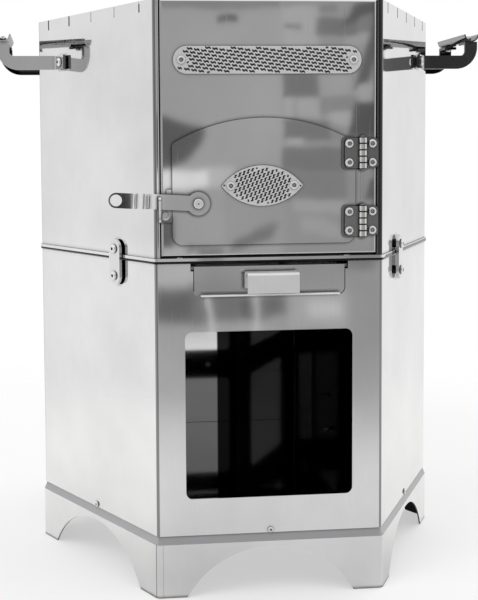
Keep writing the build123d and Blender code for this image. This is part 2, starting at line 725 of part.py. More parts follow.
def make_latch_keeper():
    """Hook on edge that the lever drops into, on a base plate with a guard tab beside the door."""
    top = KEEPER_TOP
    low = top - KEEPER_BASE_H
    right = DOOR_X - DOOR_HALF_W - KEEPER_DOOR_GAP
    left = KEEPER_X - KEEPER_T / 2
    base = Pos((left + right) / 2, (low + top) / 2) * Rectangle(right - left, KEEPER_BASE_H)
    base += Pos(right - KEEPER_TAB_W / 2, low + KEEPER_H) * Rectangle(KEEPER_TAB_W, 2 * (KEEPER_TAB_H - KEEPER_H))
    base += Pos(right - KEEPER_TAB_W / 2, low + KEEPER_H / 2) * Rectangle(KEEPER_TAB_W, KEEPER_H)
    keeper = extrude(wall_plane(FRONT) * base, SHEET)
    hook = Pos(KEEPER_OUT / 2, low + KEEPER_H / 2) * Rectangle(KEEPER_OUT, KEEPER_H)
    hook = fillet(hook.vertices().group_by(Axis.X)[-1], KEEPER_R)
    hook -= Pos(KEEPER_SLOT / 2, top + KEEPER_H / 2) * Rectangle(KEEPER_SLOT, KEEPER_H)
    plane = Plane(origin=(KEEPER_X, -FACE, 0), x_dir=(0, -1, 0), z_dir=(-1, 0, 0))
    keeper += extrude(plane * hook, KEEPER_T / 2, both=True)
    return drilled(keeper, KEEPER_RIVET, RIVET_R)


# Plates that join the shells


def make_join_plate(angle):
    middle = SEAM_Z + (JOIN_UP - JOIN_DOWN) / 2
    high = JOIN_UP + JOIN_DOWN + 2 * JOIN_OVER
    outline = Rot(0, 0, 90) * SlotOverall(high, JOIN_W)
    plate = extrude(on_wall(angle, join_across(angle), middle, JOIN_SPACER_T) * outline, JOIN_T)
    return drilled(plate, join_bolt_spots(0), BOLT_R)


# Handles


def make_arm():
    """Front left arm: a bar on edge with a tab along the wall, turned up into the seat of the grip."""
    lie = ARM_WASHER_T + ARM_T / 2
    wall = wall_plane(FLANKS["front_left"], lie)
    across = (wall.origin.Y + ARM_Y) / -wall.x_dir.Y
    bend = wall.origin + wall.x_dir * across
    end = wall.origin + wall.x_dir * (-ARM_BOLT_U + ARM_TAB_L / 2)
    path = FilletPolyline((-ARM_L, bend.Y), (bend.X, bend.Y), (end.X, end.Y), radius=ARM_BEND_R)
    plan = offset(path, ARM_T / 2, side=Side.LEFT, closed=True)
    plan = make_face(plan.edges()) + make_face(offset(path, ARM_T / 2, side=Side.RIGHT, closed=True).edges())
    bar = Pos(0, 0, ARM_Z) * extrude(plan, ARM_TIP_H)
    inner = -ARM_L + ARM_TIP_W
    view = Polyline(
        (0, 0), (-ARM_L, 0), (-ARM_L, ARM_TIP_H), (inner, ARM_TIP_H), (inner, ARM_H), (0, ARM_H), close=True
    )
    view = make_face(view)
    view = fillet(view.vertices().sort_by_distance((-ARM_L, 0))[0], ARM_OUT_R)
    view = fillet(view.vertices().sort_by_distance((inner, ARM_H))[0], ARM_IN_R)
    bar &= Pos(0, 0, ARM_Z) * extrude(Plane.XZ * view, SIDE)
    seat = Box(ARM_TIP_W, ARM_SEAT_L, ARM_T, align=(Align.CENTER, Align.MIN, Align.MAX))
    bar += Pos(-GRIP_X, -ARM_Y + ARM_T / 2, GRIP_Z) * seat
    spots = arm_bolt_spots(0)[:1]
    bar = drilled(bar, spots, BOLT_R)
    return drilled(bar, grip_screw_spots(GRIP_Z), SCREW_R)


def make_grip():
    """Half-round trough, open upwards, with a narrow flat where it sits on the arms."""
    centre = GRIP_Z + GRIP_R - GRIP_FLAT
    ring = Pos(GRIP_X, centre) * (Circle(GRIP_R) - Circle(GRIP_R - GRIP_T))
    half = Pos(GRIP_X, centre - (GRIP_R - GRIP_FLAT) / 2) * Rectangle(2 * GRIP_R, GRIP_R - GRIP_FLAT)
    grip = extrude(Plane.XZ * (ring & half), GRIP_L / 2, both=True)
    return drilled(grip, grip_screw_spots(GRIP_Z), SCREW_R)


def grip_nut_rise():
    """Height of the nut's underside over the seat, where its corners meet the curved trough."""
    corner = NUT_R_SMALL * 2 / ROOT3 + HOLE_FIT
    return GRIP_R - GRIP_FLAT - sqrt((GRIP_R - GRIP_T) ** 2 - corner**2)


# All nodes


def build_nodes():
    nodes = {}
    wall_grip = 2 * SHEET
    base_screw = screw(SCREW_R, SCREW_HEAD_R, SCREW_HEAD_H, wall_grip)
    nodes["base_skirt"] = make_base_skirt()
    nodes["base_floor"] = make_base_floor()
    nodes["base_floor_rivets"] = group(rivet(wall_grip), floor_rivet_spots())
    nodes["base_screws"] = group(base_screw, base_screw_spots())
    nodes["base_nuts"] = group(nut(NUT_R_SMALL, SCREW_R, wall_grip), base_screw_spots())
    nodes["lower_shell"] = make_lower_shell()
    nodes["floor_tray"] = make_floor_tray()
    nodes["fire_grate"] = make_fire_grate()

    nodes["drawer_runner_left"] = make_runner(-1)
    nodes["drawer_runner_right"] = make_runner(1)
    nodes["runner_rivets"] = group(rivet(wall_grip), runner_rivet_spots())
    nodes["ash_drawer"] = make_ash_drawer()
    nodes["drawer_pull"] = make_drawer_pull()
    nodes["pull_rivets"] = group(rivet(wall_grip + DRAWER_SHEET), pull_rivet_spots())

    nodes["upper_shell"] = make_upper_shell()
    nodes["front_panel"] = make_front_panel()
    nodes["front_panel_rivets"] = group(rivet(wall_grip + PANEL_SIDE_FIT), panel_rivet_spots())
    nodes["header_plate"] = make_header_plate()
    nodes["header_plate_rivets"] = group(rivet(PLATE_T + SHEET), header_rivet_spots())

    nodes["door"] = make_door()
    nodes["door_plate"] = make_door_plate()
    nodes["door_plate_rivets"] = group(rivet(PLATE_T + SHEET), lens_rivet_spots())
    for name, middle in HINGE_Z.items():
        nodes[name + "_hinge_frame_leaf"] = make_leaf(1, FRAME_LEAF_W, 0, middle, 0, FRAME_LEAF_RIVETS)
        door_leaf = make_leaf(-1, DOOR_LEAF_W, LEAF_OUT, middle, 1, DOOR_LEAF_RIVETS)
        nodes[name + "_hinge_door_leaf"] = door_leaf
        nodes[name + "_hinge_shim"] = make_shim(middle)
        nodes[name + "_hinge_pin"] = make_pin(middle)
    nodes["hinge_frame_rivets"] = group(rivet(LEAF_T + SHEET), FRAME_LEAF_RIVETS)
    nodes["hinge_door_rivets"] = group(rivet(LEAF_T + SHIM_T + SHEET), DOOR_LEAF_RIVETS)
    nodes["latch_lever"] = make_latch_lever()
    nodes["latch_bolt"] = make_latch_bolt()
    nodes["latch_nut"] = make_latch_nut()
    nodes["latch_keeper"] = make_latch_keeper()
    nodes["keeper_rivet"] = group(rivet(wall_grip), KEEPER_RIVET)

    join_out = JOIN_SPACER_T + JOIN_T
    join_grip = join_out + SHEET
    for name, angle in FLANKS.items():
        nodes["join_plate_" + name] = make_join_plate(angle)
    spacer = ring(JOIN_SPACER_R, BOLT_R + HOLE_FIT, JOIN_SPACER_T)
    join_bolt = screw(BOLT_R, BOLT_HEAD_R, BOLT_HEAD_H, join_grip)
    nodes["join_spacers"] = group(spacer, join_bolt_spots(0))
    nodes["join_bolts"] = group(join_bolt, join_bolt_spots(join_out))
    nodes["join_nuts"] = group(nut(NUT_R_BIG, BOLT_R, join_grip), join_bolt_spots(join_out))

    arm = make_arm()
    nodes["handle_arm_front_left"] = arm
    nodes["handle_arm_rear_left"] = mirror(arm, about=Plane.XZ)
    nodes["handle_arm_front_right"] = mirror(arm, about=Plane.YZ)
    nodes["handle_arm_rear_right"] = mirror(nodes["handle_arm_rear_left"], about=Plane.YZ)
    arm_out = ARM_WASHER_T + ARM_T
    arm_grip = arm_out + SHEET
    washer = ring(ARM_WASHER_R, BOLT_R + HOLE_FIT, ARM_WASHER_T)
    handle_bolt = screw(BOLT_R, BOLT_HEAD_R, BOLT_HEAD_H, arm_grip)
    nodes["handle_washers"] = group(washer, arm_bolt_spots(0))
    nodes["handle_bolts"] = group(handle_bolt, arm_bolt_spots(arm_out))
    nodes["handle_nuts"] = group(nut(NUT_R_BIG, BOLT_R, arm_grip), arm_bolt_spots(arm_out))
    nodes["grip_right"] = make_grip()
    nodes["grip_left"] = mirror(nodes["grip_right"], about=Plane.YZ)
    rise = grip_nut_rise()
    upright = Rot(180, 0, 0)
    grip_screw = upright * screw(SCREW_R, SCREW_HEAD_R, SCREW_HEAD_H, ARM_T + rise)
    nodes["grip_screws"] = group(grip_screw, grip_screw_spots(GRIP_Z - ARM_T))
    grip_nut = upright * nut(NUT_R_SMALL, SCREW_R, ARM_T + rise)
    nodes["grip_nuts"] = group(grip_nut, grip_screw_spots(GRIP_Z - ARM_T))
    return nodes


os.makedirs("parts", exist_ok=True)
all_nodes = build_nodes()
boxes = [shape.bounding_box() for shape in all_nodes.values()]
SHIFT_Y = -(min(box.min.Y for box in boxes) + max(box.max.Y for box in boxes)) / 2
for node_name, node_shape in all_nodes.items():
    export_step(Pos(0, SHIFT_Y, 0) * node_shape, os.path.join("parts", node_name + ".step"))
print("nodes", len(all_nodes), "shift along Y", round(SHIFT_Y, 4), "front face at Y", round(SHIFT_Y - FACE, 4))
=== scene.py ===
import json
from math import atan2, cos, degrees, pi, radians, sin, sqrt

import bpy
from mathutils import Matrix, Vector


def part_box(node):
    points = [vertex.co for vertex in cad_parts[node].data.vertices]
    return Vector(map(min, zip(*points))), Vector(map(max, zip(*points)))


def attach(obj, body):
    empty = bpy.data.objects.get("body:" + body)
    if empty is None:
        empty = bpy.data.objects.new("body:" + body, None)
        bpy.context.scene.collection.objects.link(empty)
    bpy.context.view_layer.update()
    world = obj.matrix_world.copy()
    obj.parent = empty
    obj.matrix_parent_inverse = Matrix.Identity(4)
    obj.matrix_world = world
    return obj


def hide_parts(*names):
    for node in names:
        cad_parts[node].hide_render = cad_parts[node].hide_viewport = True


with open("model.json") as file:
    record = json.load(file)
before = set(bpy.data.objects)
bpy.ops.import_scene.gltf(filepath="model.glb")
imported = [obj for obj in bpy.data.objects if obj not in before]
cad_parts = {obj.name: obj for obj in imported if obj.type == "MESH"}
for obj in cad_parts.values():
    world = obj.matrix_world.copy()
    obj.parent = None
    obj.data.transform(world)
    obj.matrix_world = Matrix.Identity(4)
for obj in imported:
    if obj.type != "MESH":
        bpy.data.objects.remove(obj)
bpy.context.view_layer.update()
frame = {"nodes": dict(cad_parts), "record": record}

# Looks of a wood-fired kazan stove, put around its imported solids. Lengths are metres, x points to the right,
# -y to the front and z up.

MM = 0.001
NODES = frame["nodes"]


# Node trees


class Graph:
    """Short ways to add nodes to one tree. A value is a number, a tuple or another node's output."""

    def __init__(self, tree):
        self.tree = tree
        tree.nodes.clear()

    def add(self, kind, values=None, **settings):
        """New node with some of its inputs and settings."""
        node = self.tree.nodes.new(kind)
        for name, setting in settings.items():
            setattr(node, name, setting)
        values = values or {}
        self.fill([node.inputs[name] for name in values], values.values())
        return node

    def fill(self, sockets, values):
        for socket, value in zip(sockets, values):
            if isinstance(value, bpy.types.NodeSocket):
                self.tree.links.new(value, socket)
            else:
                socket.default_value = value

    def math(self, operation, *values):
        node = self.add("ShaderNodeMath", operation=operation)
        self.fill(node.inputs, values)
        return node.outputs[0]

    def vector(self, operation, *values):
        node = self.add("ShaderNodeVectorMath", operation=operation)
        self.fill(node.inputs, values)
        return node.outputs["Value" if operation in ("DOT_PRODUCT", "LENGTH") else "Vector"]

    def split(self, vector):
        """The three numbers of a vector."""
        return self.add("ShaderNodeSeparateXYZ", {"Vector": vector}).outputs[:]

    def line(self, value, low, high, start=0.0, end=1.0, form="LINEAR"):
        """Straight ramp from start at low to end at high, level outside."""
        values = {"Value": value, "From Min": low, "From Max": high, "To Min": start, "To Max": end}
        return self.add("ShaderNodeMapRange", values, interpolation_type=form).outputs[0]

    def step(self, value, low, high, start=0.0, end=1.0):
        """Smooth step from start at low to end at high."""
        return self.line(value, low, high, start, end, "SMOOTHSTEP")

    def band(self, value, low, high, soft):
        """One between two limits, else zero, with flanks of the given width."""
        rising = self.step(value, low - soft / 2, low + soft / 2)
        falling = self.step(value, high - soft / 2, high + soft / 2, 1.0, 0.0)
        return self.math("MULTIPLY", rising, falling)

    def sheared(self, value, other, middle, factor):
        """The value less a share of how far another one is from its middle."""
        away = self.math("SUBTRACT", other, middle)
        return self.math("SUBTRACT", value, self.math("MULTIPLY", away, factor))

    def noise(self, vector, scale, detail=2.0, rough=0.5, output="Fac"):
        values = {"Vector": vector, "Scale": scale, "Detail": detail, "Roughness": rough}
        return self.add("ShaderNodeTexNoise", values).outputs[output]

    def stretched(self, vector, scale, turn=0.0):
        """The vector turned about Y and scaled by axis, for grain and scratches."""
        values = {"Vector": vector, "Scale": scale, "Rotation": (0.0, radians(turn), 0.0)}
        return self.add("ShaderNodeMapping", values).outputs[0]

    def blend(self, share, first, second):
        """Number between two others."""
        node = self.add("ShaderNodeMix", data_type="FLOAT")
        self.fill((node.inputs[0], node.inputs[2], node.inputs[3]), (share, first, second))
        return node.outputs[0]

    def colour(self, share, first, second):
        """Colour between two others."""
        node = self.add("ShaderNodeMix", data_type="RGBA")
        self.fill((node.inputs[0], node.inputs[6], node.inputs[7]), (share, first, second))
        return node.outputs[2]

    def mixed(self, share, first, second):
        """Shader between two others."""
        node = self.add("ShaderNodeMixShader")
        self.fill(node.inputs, (share, first.outputs[0], second.outputs[0]))
        return node

    def straight_rays(self):
        """One for rays from the camera and rays that only pass through something, else zero."""
        light = self.add("ShaderNodeLightPath").outputs
        return self.math("MAXIMUM", light["Is Camera Ray"], light["Is Transmission Ray"])


def grey(level):
    return (level, level, level, 1.0)


# Light: a white tent behind and beside the stove, and a dim room in front of it

# Soft shapes of the dim room and of the ground before the stove, as a mirror in the front wall shows them:
# left, right, low and high limits as slopes against the direction straight ahead, how far the upright
# limits lean and the level ones tilt, the softness of the limits, and the brightness.
ROOM = (
    (0.0774, 0.2114, 0.1334, 0.1513, 0.0, 0.01, 0.0047, 0.29),
    (0.1503, 0.1693, 0.1186, 0.1275, 0.0, 0.01, 0.0047, 0.14),
    (0.0772, 0.1655, -0.0374, -0.0173, 0.0, 0.02, 0.0086, 0.59),
    (0.0772, 0.1394, -0.0374, -0.0204, 0.0, 0.02, 0.0086, 0.9),
    (0.1555, 0.216, -0.0917, -0.0374, 0.0, 0.0, 0.0095, 0.39),
    (0.1666, 0.2029, -0.0907, -0.0776, 0.6, 0.22, 0.0095, 0.22),
    (0.0871, 0.1072, -0.0936, -0.0605, 0.0, 0.0, 0.0029, 0.14),
    (0.0461, 0.0701, -0.0645, -0.0304, 0.0, 0.0, 0.0029, 0.04),
    (0.0701, 0.0791, -0.0635, -0.0344, 0.0, 0.0, 0.0019, 1.0),
    (0.0851, 0.0942, -0.0635, -0.0344, 0.0, 0.0, 0.0019, 0.91),
    (0.2125, 0.2487, 0.097, 0.1349, 0.0, -0.04, 0.0038, 0.47),
    (0.2145, 0.2316, 0.1149, 0.1199, 0.0, -0.04, 0.0038, 0.27),
    (0.2477, 0.2658, 0.129, 0.136, 0.0, 0.01, 0.0038, 0.26),
    (0.2457, 0.2861, 0.1071, 0.1241, 0.0, -0.01, 0.0038, 0.21),
    (0.2799, 0.3112, 0.1262, 0.1402, 0.6, 0.35, 0.0057, 0.12),
    (0.2861, 0.3113, 0.1102, 0.1262, -0.01, 0.01, 0.0047, 0.24),
    (0.274, 0.2972, 0.0972, 0.1082, -0.01, 0.1, 0.0038, 0.41),
    (0.2903, 0.3014, 0.0542, 0.1142, 0.3, 0.0, 0.0047, 0.13),
    (0.2127, 0.2479, 0.049, 0.072, 0.0, 0.0, 0.0038, 0.21),
    (0.2479, 0.2803, 0.0501, 0.0721, 0.0, 0.0, 0.0057, 0.42),
    (0.2833, 0.3036, 0.0441, 0.0642, 0.5, 0.0, 0.0066, 0.44),
    (0.2147, 0.249, 0.0289, 0.049, 0.0, 0.0, 0.0038, 0.46),
    (0.2228, 0.2289, 0.0289, 0.048, 0.0, 0.0, 0.0029, 0.39),
    (0.249, 0.2864, 0.032, 0.0501, 0.0, 0.0, 0.0057, 0.3),
    (0.2552, 0.2804, 0.013, 0.033, 0.0, 0.0, 0.0057, 0.47),
    (0.2794, 0.3118, 0.011, 0.0431, 0.2, 0.0, 0.0047, 0.11),
    (0.2128, 0.2592, 0.0099, 0.028, 0.0, -0.14, 0.0029, 0.22),
    (0.2592, 0.2744, 0.0089, 0.022, 0.0, -0.14, 0.0057, 0.31),
    (0.2168, 0.234, 0.0039, 0.0119, 0.0, 0.0, 0.0038, 0.48),
    (0.234, 0.2714, 0.0009, 0.0089, 0.0, 0.0, 0.0047, 0.36),
    (0.2129, 0.2745, -0.0222, 0.0009, 0.0, 0.0, 0.0038, 0.23),
    (0.2129, 0.2746, -0.0504, -0.0222, 0.0, 0.0, 0.0047, 0.27),
    (0.2746, 0.2959, -0.0494, 0.008, -0.01, 0.0, 0.0076, 0.35),
    (0.296, 0.3122, -0.0504, -0.0283, 0.25, 0.0, 0.0047, 0.16),
    (0.2211, 0.2747, -0.0625, -0.0504, 0.0, -0.1, 0.0047, 0.44),
    (0.2312, 0.2748, -0.0827, -0.0706, 0.0, -0.2, 0.0076, 0.43),
    (0.1213, 0.1555, -0.1088, -0.0906, 0.0, 0.0, 0.0057, 0.27),
    (0.0771, 0.1193, -0.1107, -0.0936, -0.4, 0.0, 0.0057, 0.55),
    (0.077, 0.1303, -0.1319, -0.1087, 0.0, 0.45, 0.0057, 0.55),
    (0.077, 0.1344, -0.1652, -0.1319, 0.0, 0.0, 0.0114, 0.14),
    (0.1213, 0.1697, -0.1673, -0.1249, 0.0, 0.0, 0.0095, 0.2),
    (0.1384, 0.1435, -0.1805, -0.1401, -0.15, 0.0, 0.0029, 0.7),
    (0.1697, 0.1859, -0.1634, -0.1381, 0.0, 0.0, 0.0057, 0.14),
    (0.1849, 0.19, -0.1786, -0.1382, -0.03, 0.0, 0.0029, 0.67),
    (0.191, 0.2173, -0.1615, -0.1362, 0.0, 0.25, 0.0057, 0.16),
    (0.2173, 0.2762, -0.1758, -0.1363, 0.0, 0.0, 0.0095, 0.47),
    (0.2366, 0.2701, -0.1637, -0.1474, 0.0, 0.0, 0.0086, 0.65),
    (0.275, 0.3024, -0.1192, -0.104, -0.01, 0.0, 0.0057, 0.22),
    (0.2751, 0.3025, -0.1404, -0.1192, -0.01, 0.0, 0.0086, 0.35),
    (0.3027, 0.3169, -0.104, 0.1542, -0.01, 0.0, 0.0019, 0.06),
    (0.3135, 0.525, 0.0371, 0.1352, -0.01, 0.0, 0.0029, 0.03),
    (0.8, 1.1, 0.03, 0.17, 0.0, 0.0, 0.01, 0.1),
)
ROOM_LEFT = 0.43
ROOM_RIGHT = 0.36
ROOM_EDGE = 0.2130
BALL = (0.0896, 0.0310, 0.0506, 0.004, 0.13)  # a round dark thing: across, rise, radius, softness, brightness
BALL_TOP = (0.0346, -0.30)  # level of its cut top at the middle, and how that falls towards the right
SWAY_SCALE = 34.0  # shapes wander on this scale and by up to the slopes below, as sheet is never quite flat
SWAY_ACROSS = 0.0035
SWAY_RISE = 0.006
TENT_BEHIND = 0.62  # brightness of the tent straight behind the stove
TENT_SCREEN = 0.60  # and of a screen in it at the front left
FRONT_HIGH = 0.30  # brightness of the room above its shapes, on the ground near the stove, and overhead
FRONT_LOW = 0.50
FRONT_OVERHEAD = 0.95


def room(g, across, rise):
    """Brightness of the dim room for a direction, given as slopes."""
    value = g.blend(g.step(across, ROOM_EDGE - 0.001, ROOM_EDGE + 0.001), ROOM_LEFT, ROOM_RIGHT)
    for left, right, low, high, lean, tilt, soft, bright in ROOM:
        x = g.sheared(across, rise, (low + high) / 2, lean) if lean else across
        z = g.sheared(rise, across, (left + right) / 2, tilt) if tilt else rise
        inside = g.math("MULTIPLY", g.band(x, left, right, soft), g.band(z, low, high, soft))
        value = g.blend(inside, value, bright)
    ball_x, ball_z, radius, soft, bright = BALL
    place = g.add("ShaderNodeCombineXYZ", {"X": across, "Y": rise}).outputs[0]
    away = g.vector("LENGTH", g.vector("SUBTRACT", place, (ball_x, ball_z, 0.0)))
    disc = g.step(away, radius - soft, radius + soft, 1.0, 0.0)
    top, fall = BALL_TOP
    level = g.sheared(rise, across, ball_x, fall)
    inside = g.math("MULTIPLY", disc, g.step(level, top - soft, top + soft, 1.0, 0.0))
    return g.blend(inside, value, bright)


def tent(g, direction):
    """Brightness of the white tent, a little darker near the horizon, straight behind and at the screen."""
    x, y, z = direction
    value = g.step(z, 0.05, 0.5, 0.88, 1.0)
    value = g.math("MULTIPLY", value, g.step(z, -0.10, -0.07, 1.06, 1.0))
    behind = g.math("MULTIPLY", g.band(x, -0.21, 0.21, 0.18), g.step(y, 0.2, 0.6))
    value = g.math("MULTIPLY", value, g.blend(behind, 1.0, TENT_BEHIND))
    screen = g.math("MULTIPLY", g.band(y, -0.62, -0.32, 0.04), g.band(z, 0.0, 0.22, 0.04))
    screen = g.math("MULTIPLY", screen, g.step(x, -0.5, -0.4, 1.0, 0.0))
    return g.math("MULTIPLY", value, g.blend(screen, 1.0, TENT_SCREEN))


def make_world():
    world = bpy.data.worlds.new("studio")
    world.use_nodes = True
    bpy.context.scene.world = world
    g = Graph(world.node_tree)
    direction = g.add("ShaderNodeTexCoord").outputs["Generated"]
    x, y, z = g.split(direction)
    ahead = g.math("MAXIMUM", g.math("MULTIPLY", y, -1.0), 0.05)
    sway_x, sway_z, _ = g.split(g.noise(direction, SWAY_SCALE, 1.0, output="Color"))
    across = g.math("ADD", g.math("DIVIDE", x, ahead), g.line(sway_x, 0.0, 1.0, -SWAY_ACROSS, SWAY_ACROSS))
    rise = g.math("ADD", g.math("DIVIDE", z, ahead), g.line(sway_z, 0.0, 1.0, -SWAY_RISE, SWAY_RISE))

    # The room's shapes, brighter towards the ground near the stove and overhead
    front = room(g, across, rise)
    front = g.blend(g.step(rise, 0.14, 0.34), front, FRONT_HIGH)
    front = g.blend(g.step(rise, -0.27, -0.17, 1.0, 0.0), front, FRONT_LOW)
    front = g.blend(g.step(z, 0.45, 0.8), front, FRONT_OVERHEAD)

    seen = g.blend(g.step(y, -0.80, -0.35, 1.0, 0.0), tent(g, (x, y, z)), front)
    seen = g.blend(g.straight_rays(), seen, 1.0)
    background = g.add("ShaderNodeBackground", {"Color": seen, "Strength": 1.0})
    g.add("ShaderNodeOutputWorld", {"Surface": background.outputs[0]})


# Camera, lamps and floor

CAMERA_PLACE = (-0.2035, -1.2046, 0.4422)
CAMERA_TURN = (-3.669, 0.547, -5.503)  # pitch, roll and yaw in degrees
CAMERA_LENS = 63.594
CAMERA_SENSOR = 36.0
CAMERA_SHIFT = (0.1278, -0.1365)
CAMERA_REACH = (0.05, 50.0)
LAMP_AIM = Vector((0.0, 0.0, 0.3))
FLOOR_RADIUS = 1.2
FLOOR_CORNERS = 96
FLOOR_GAP = 0.0004  # between the floor and the feet
FLOOR_SOLID = 0.55  # the floor fades out between these distances
FLOOR_END = 1.15


def make_camera():
    data = bpy.data.cameras.new("camera")
    data.lens = CAMERA_LENS
    data.sensor_width = CAMERA_SENSOR
    data.shift_x, data.shift_y = CAMERA_SHIFT
    data.clip_start, data.clip_end = CAMERA_REACH
    camera = bpy.data.objects.new("camera", data)
    bpy.context.scene.collection.objects.link(camera)
    pitch, roll, yaw = (radians(a) for a in CAMERA_TURN)
    turn = Matrix.Rotation(yaw, 4, "Z") @ Matrix.Rotation(pitch, 4, "X") @ Matrix.Rotation(roll, 4, "Y")
    camera.matrix_world = Matrix.Translation(CAMERA_PLACE) @ turn @ Matrix.Rotation(pi / 2, 4, "X")
    bpy.context.scene.camera = camera


def make_lamp(name, place, size, power):
    data = bpy.data.lights.new(name, "AREA")
    data.shape = "DISK"
    data.size = size
    data.energy = power
    lamp = bpy.data.objects.new(name, data)
    lamp.location = place
    lamp.rotation_euler = (LAMP_AIM - Vector(place)).to_track_quat("-Z", "Y").to_euler()
    lamp.visible_camera = False
    lamp.visible_glossy = False
    bpy.context.scene.collection.objects.link(lamp)


def make_floor():
    points = [(0.0, 0.0, 0.0)]
    for i in range(FLOOR_CORNERS):
        angle = 2 * pi * i / FLOOR_CORNERS
        points.append((FLOOR_RADIUS * cos(angle), FLOOR_RADIUS * sin(angle), 0.0))
    faces = [(0, i + 1, (i + 1) % FLOOR_CORNERS + 1) for i in range(FLOOR_CORNERS)]
    mesh = bpy.data.meshes.new("floor")
    mesh.from_pydata(points, [], faces)
    floor = bpy.data.objects.new("floor", mesh)
    floor.location.z = -FLOOR_GAP
    bpy.context.scene.collection.objects.link(floor)

    material, g, place = start_material("floor_white")
    mesh.materials.append(material)
    mirrored = g.add("ShaderNodeLightPath").outputs["Is Glossy Ray"]
    plain = g.math("MAXIMUM", g.math("MULTIPLY", g.straight_rays(), 0.5), g.math("MULTIPLY", mirrored, 0.2))
    paint = g.colour(g.noise(place, 3.0), grey(0.86), grey(0.9))
    # Painted shade: for mirrored rays the floor in front of the stove is painted darker than beside and behind
    # it
    beside = g.step(g.split(place)[1], -0.25, -0.05)
    paint = g.colour(mirrored, paint, g.colour(beside, grey(0.66), (0.97, 0.97, 0.96, 1.0)))
    matt = g.add("ShaderNodeBsdfDiffuse", {"Color": paint})
    glow = g.add("ShaderNodeEmission", {"Color": grey(1.0), "Strength": 1.0})
    clear = g.add("ShaderNodeBsdfTransparent")
    outwards = g.step(g.vector("LENGTH", place), FLOOR_SOLID, FLOOR_END)
    surface = g.mixed(outwards, g.mixed(plain, matt, glow), clear)
    g.add("ShaderNodeOutputMaterial", {"Surface": surface.outputs[0]})


# Materials

MIDDLE_Y = (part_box("lower_shell")[0].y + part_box("lower_shell")[1].y) / 2
AXIS = (0.0, MIDDLE_Y, 0.0)
RIM_RADIUS = 0.0006  # how far in from a rim a highlight is painted
GAP_WIDTH = 0.004  # gaps up to about this width are painted dark as shade
SMEARS = (30.0, 30.0, 6.0)  # scales by axis, per metre
GRAIN = (1500.0, 1500.0, 40.0)
SCRATCHES = (900.0, 900.0, 9.0)
MIRROR_GLOSS = (0.04, 0.06)  # limits of the roughness of inner faces
# Roughness limits of inner faces painted dark as shade
SHADED_INSIDE_GLOSS = (0.35, 0.5)
FOLD_RADII = (0.22395, 0.22412)  # the shells' folds lie further out than this
FLANGE_SIDE = (0.1070, 0.1074)  # the flange beside the panel starts here, in x
FLANGE_FRONT = (-0.1848, -0.1842)  # and lies in front of this, in y
STEP_HEIGHT = 0.0081  # of the slanted band at the top of the skirt
KNUCKLES = 5

# Painted highlight on rims
RIM_HIGHLIGHT = (0.93, 0.93, 0.92, 1.0)
# Ash, and the lighter streaks in the painted shade of the fire chamber
ASH_AND_SHADE = (0.15, 0.145, 0.14, 1.0)
# Black of painted shade: in gaps, on the backs of the join plates and on the flange beside the front panel
SHADE_BLACK = grey(0.03)


def start_material(name):
    """New material, the ways to add to it, and the place on the piece."""
    material = bpy.data.materials.new(name)
    material.use_nodes = True
    g = Graph(material.node_tree)
    return material, g, g.add("ShaderNodeTexCoord").outputs["Object"]


def end_material(g, tone, gloss, metal, height, strength):
    bump = g.add("ShaderNodeBump", {"Strength": strength, "Distance": MM, "Height": height}).outputs[0]
    values = {"Base Color": tone, "Roughness": gloss, "Metallic": metal, "Normal": bump}
    shader = g.add("ShaderNodeBsdfPrincipled", values)
    g.add("ShaderNodeOutputMaterial", {"Surface": shader.outputs[0]})


def flat_offset(g, place, centre):
    """From an upright axis to the place, level."""
    return g.vector("MULTIPLY", g.vector("SUBTRACT", place, centre), (1.0, 1.0, 0.0))


def inner_share(g, place):
    """One on faces that look towards the stove's axis, else zero."""
    normal = g.add("ShaderNodeNewGeometry").outputs["True Normal"]
    outwards = g.vector("DOT_PRODUCT", normal, flat_offset(g, place, AXIS))
    return g.step(outwards, -0.01, -0.002, 1.0, 0.0)


def edge_share(g, radius):
    """One on the rims of a piece, where its rounded normal leaves the flat one."""
    soft = g.add("ShaderNodeBevel", {"Radius": radius}, samples=4).outputs[0]
    sharp = g.add("ShaderNodeNewGeometry").outputs["Normal"]
    return g.step(g.vector("DOT_PRODUCT", soft, sharp), 0.80, 0.985, 1.0, 0.0)


def gap_share(g):
    """One in narrow gaps and at the foot of standing pieces, where shade is painted."""
    clear = g.add("ShaderNodeAmbientOcclusion", {"Distance": GAP_WIDTH}, samples=6).outputs["AO"]
    return g.step(clear, 0.60, 0.98, 1.0, 0.0)


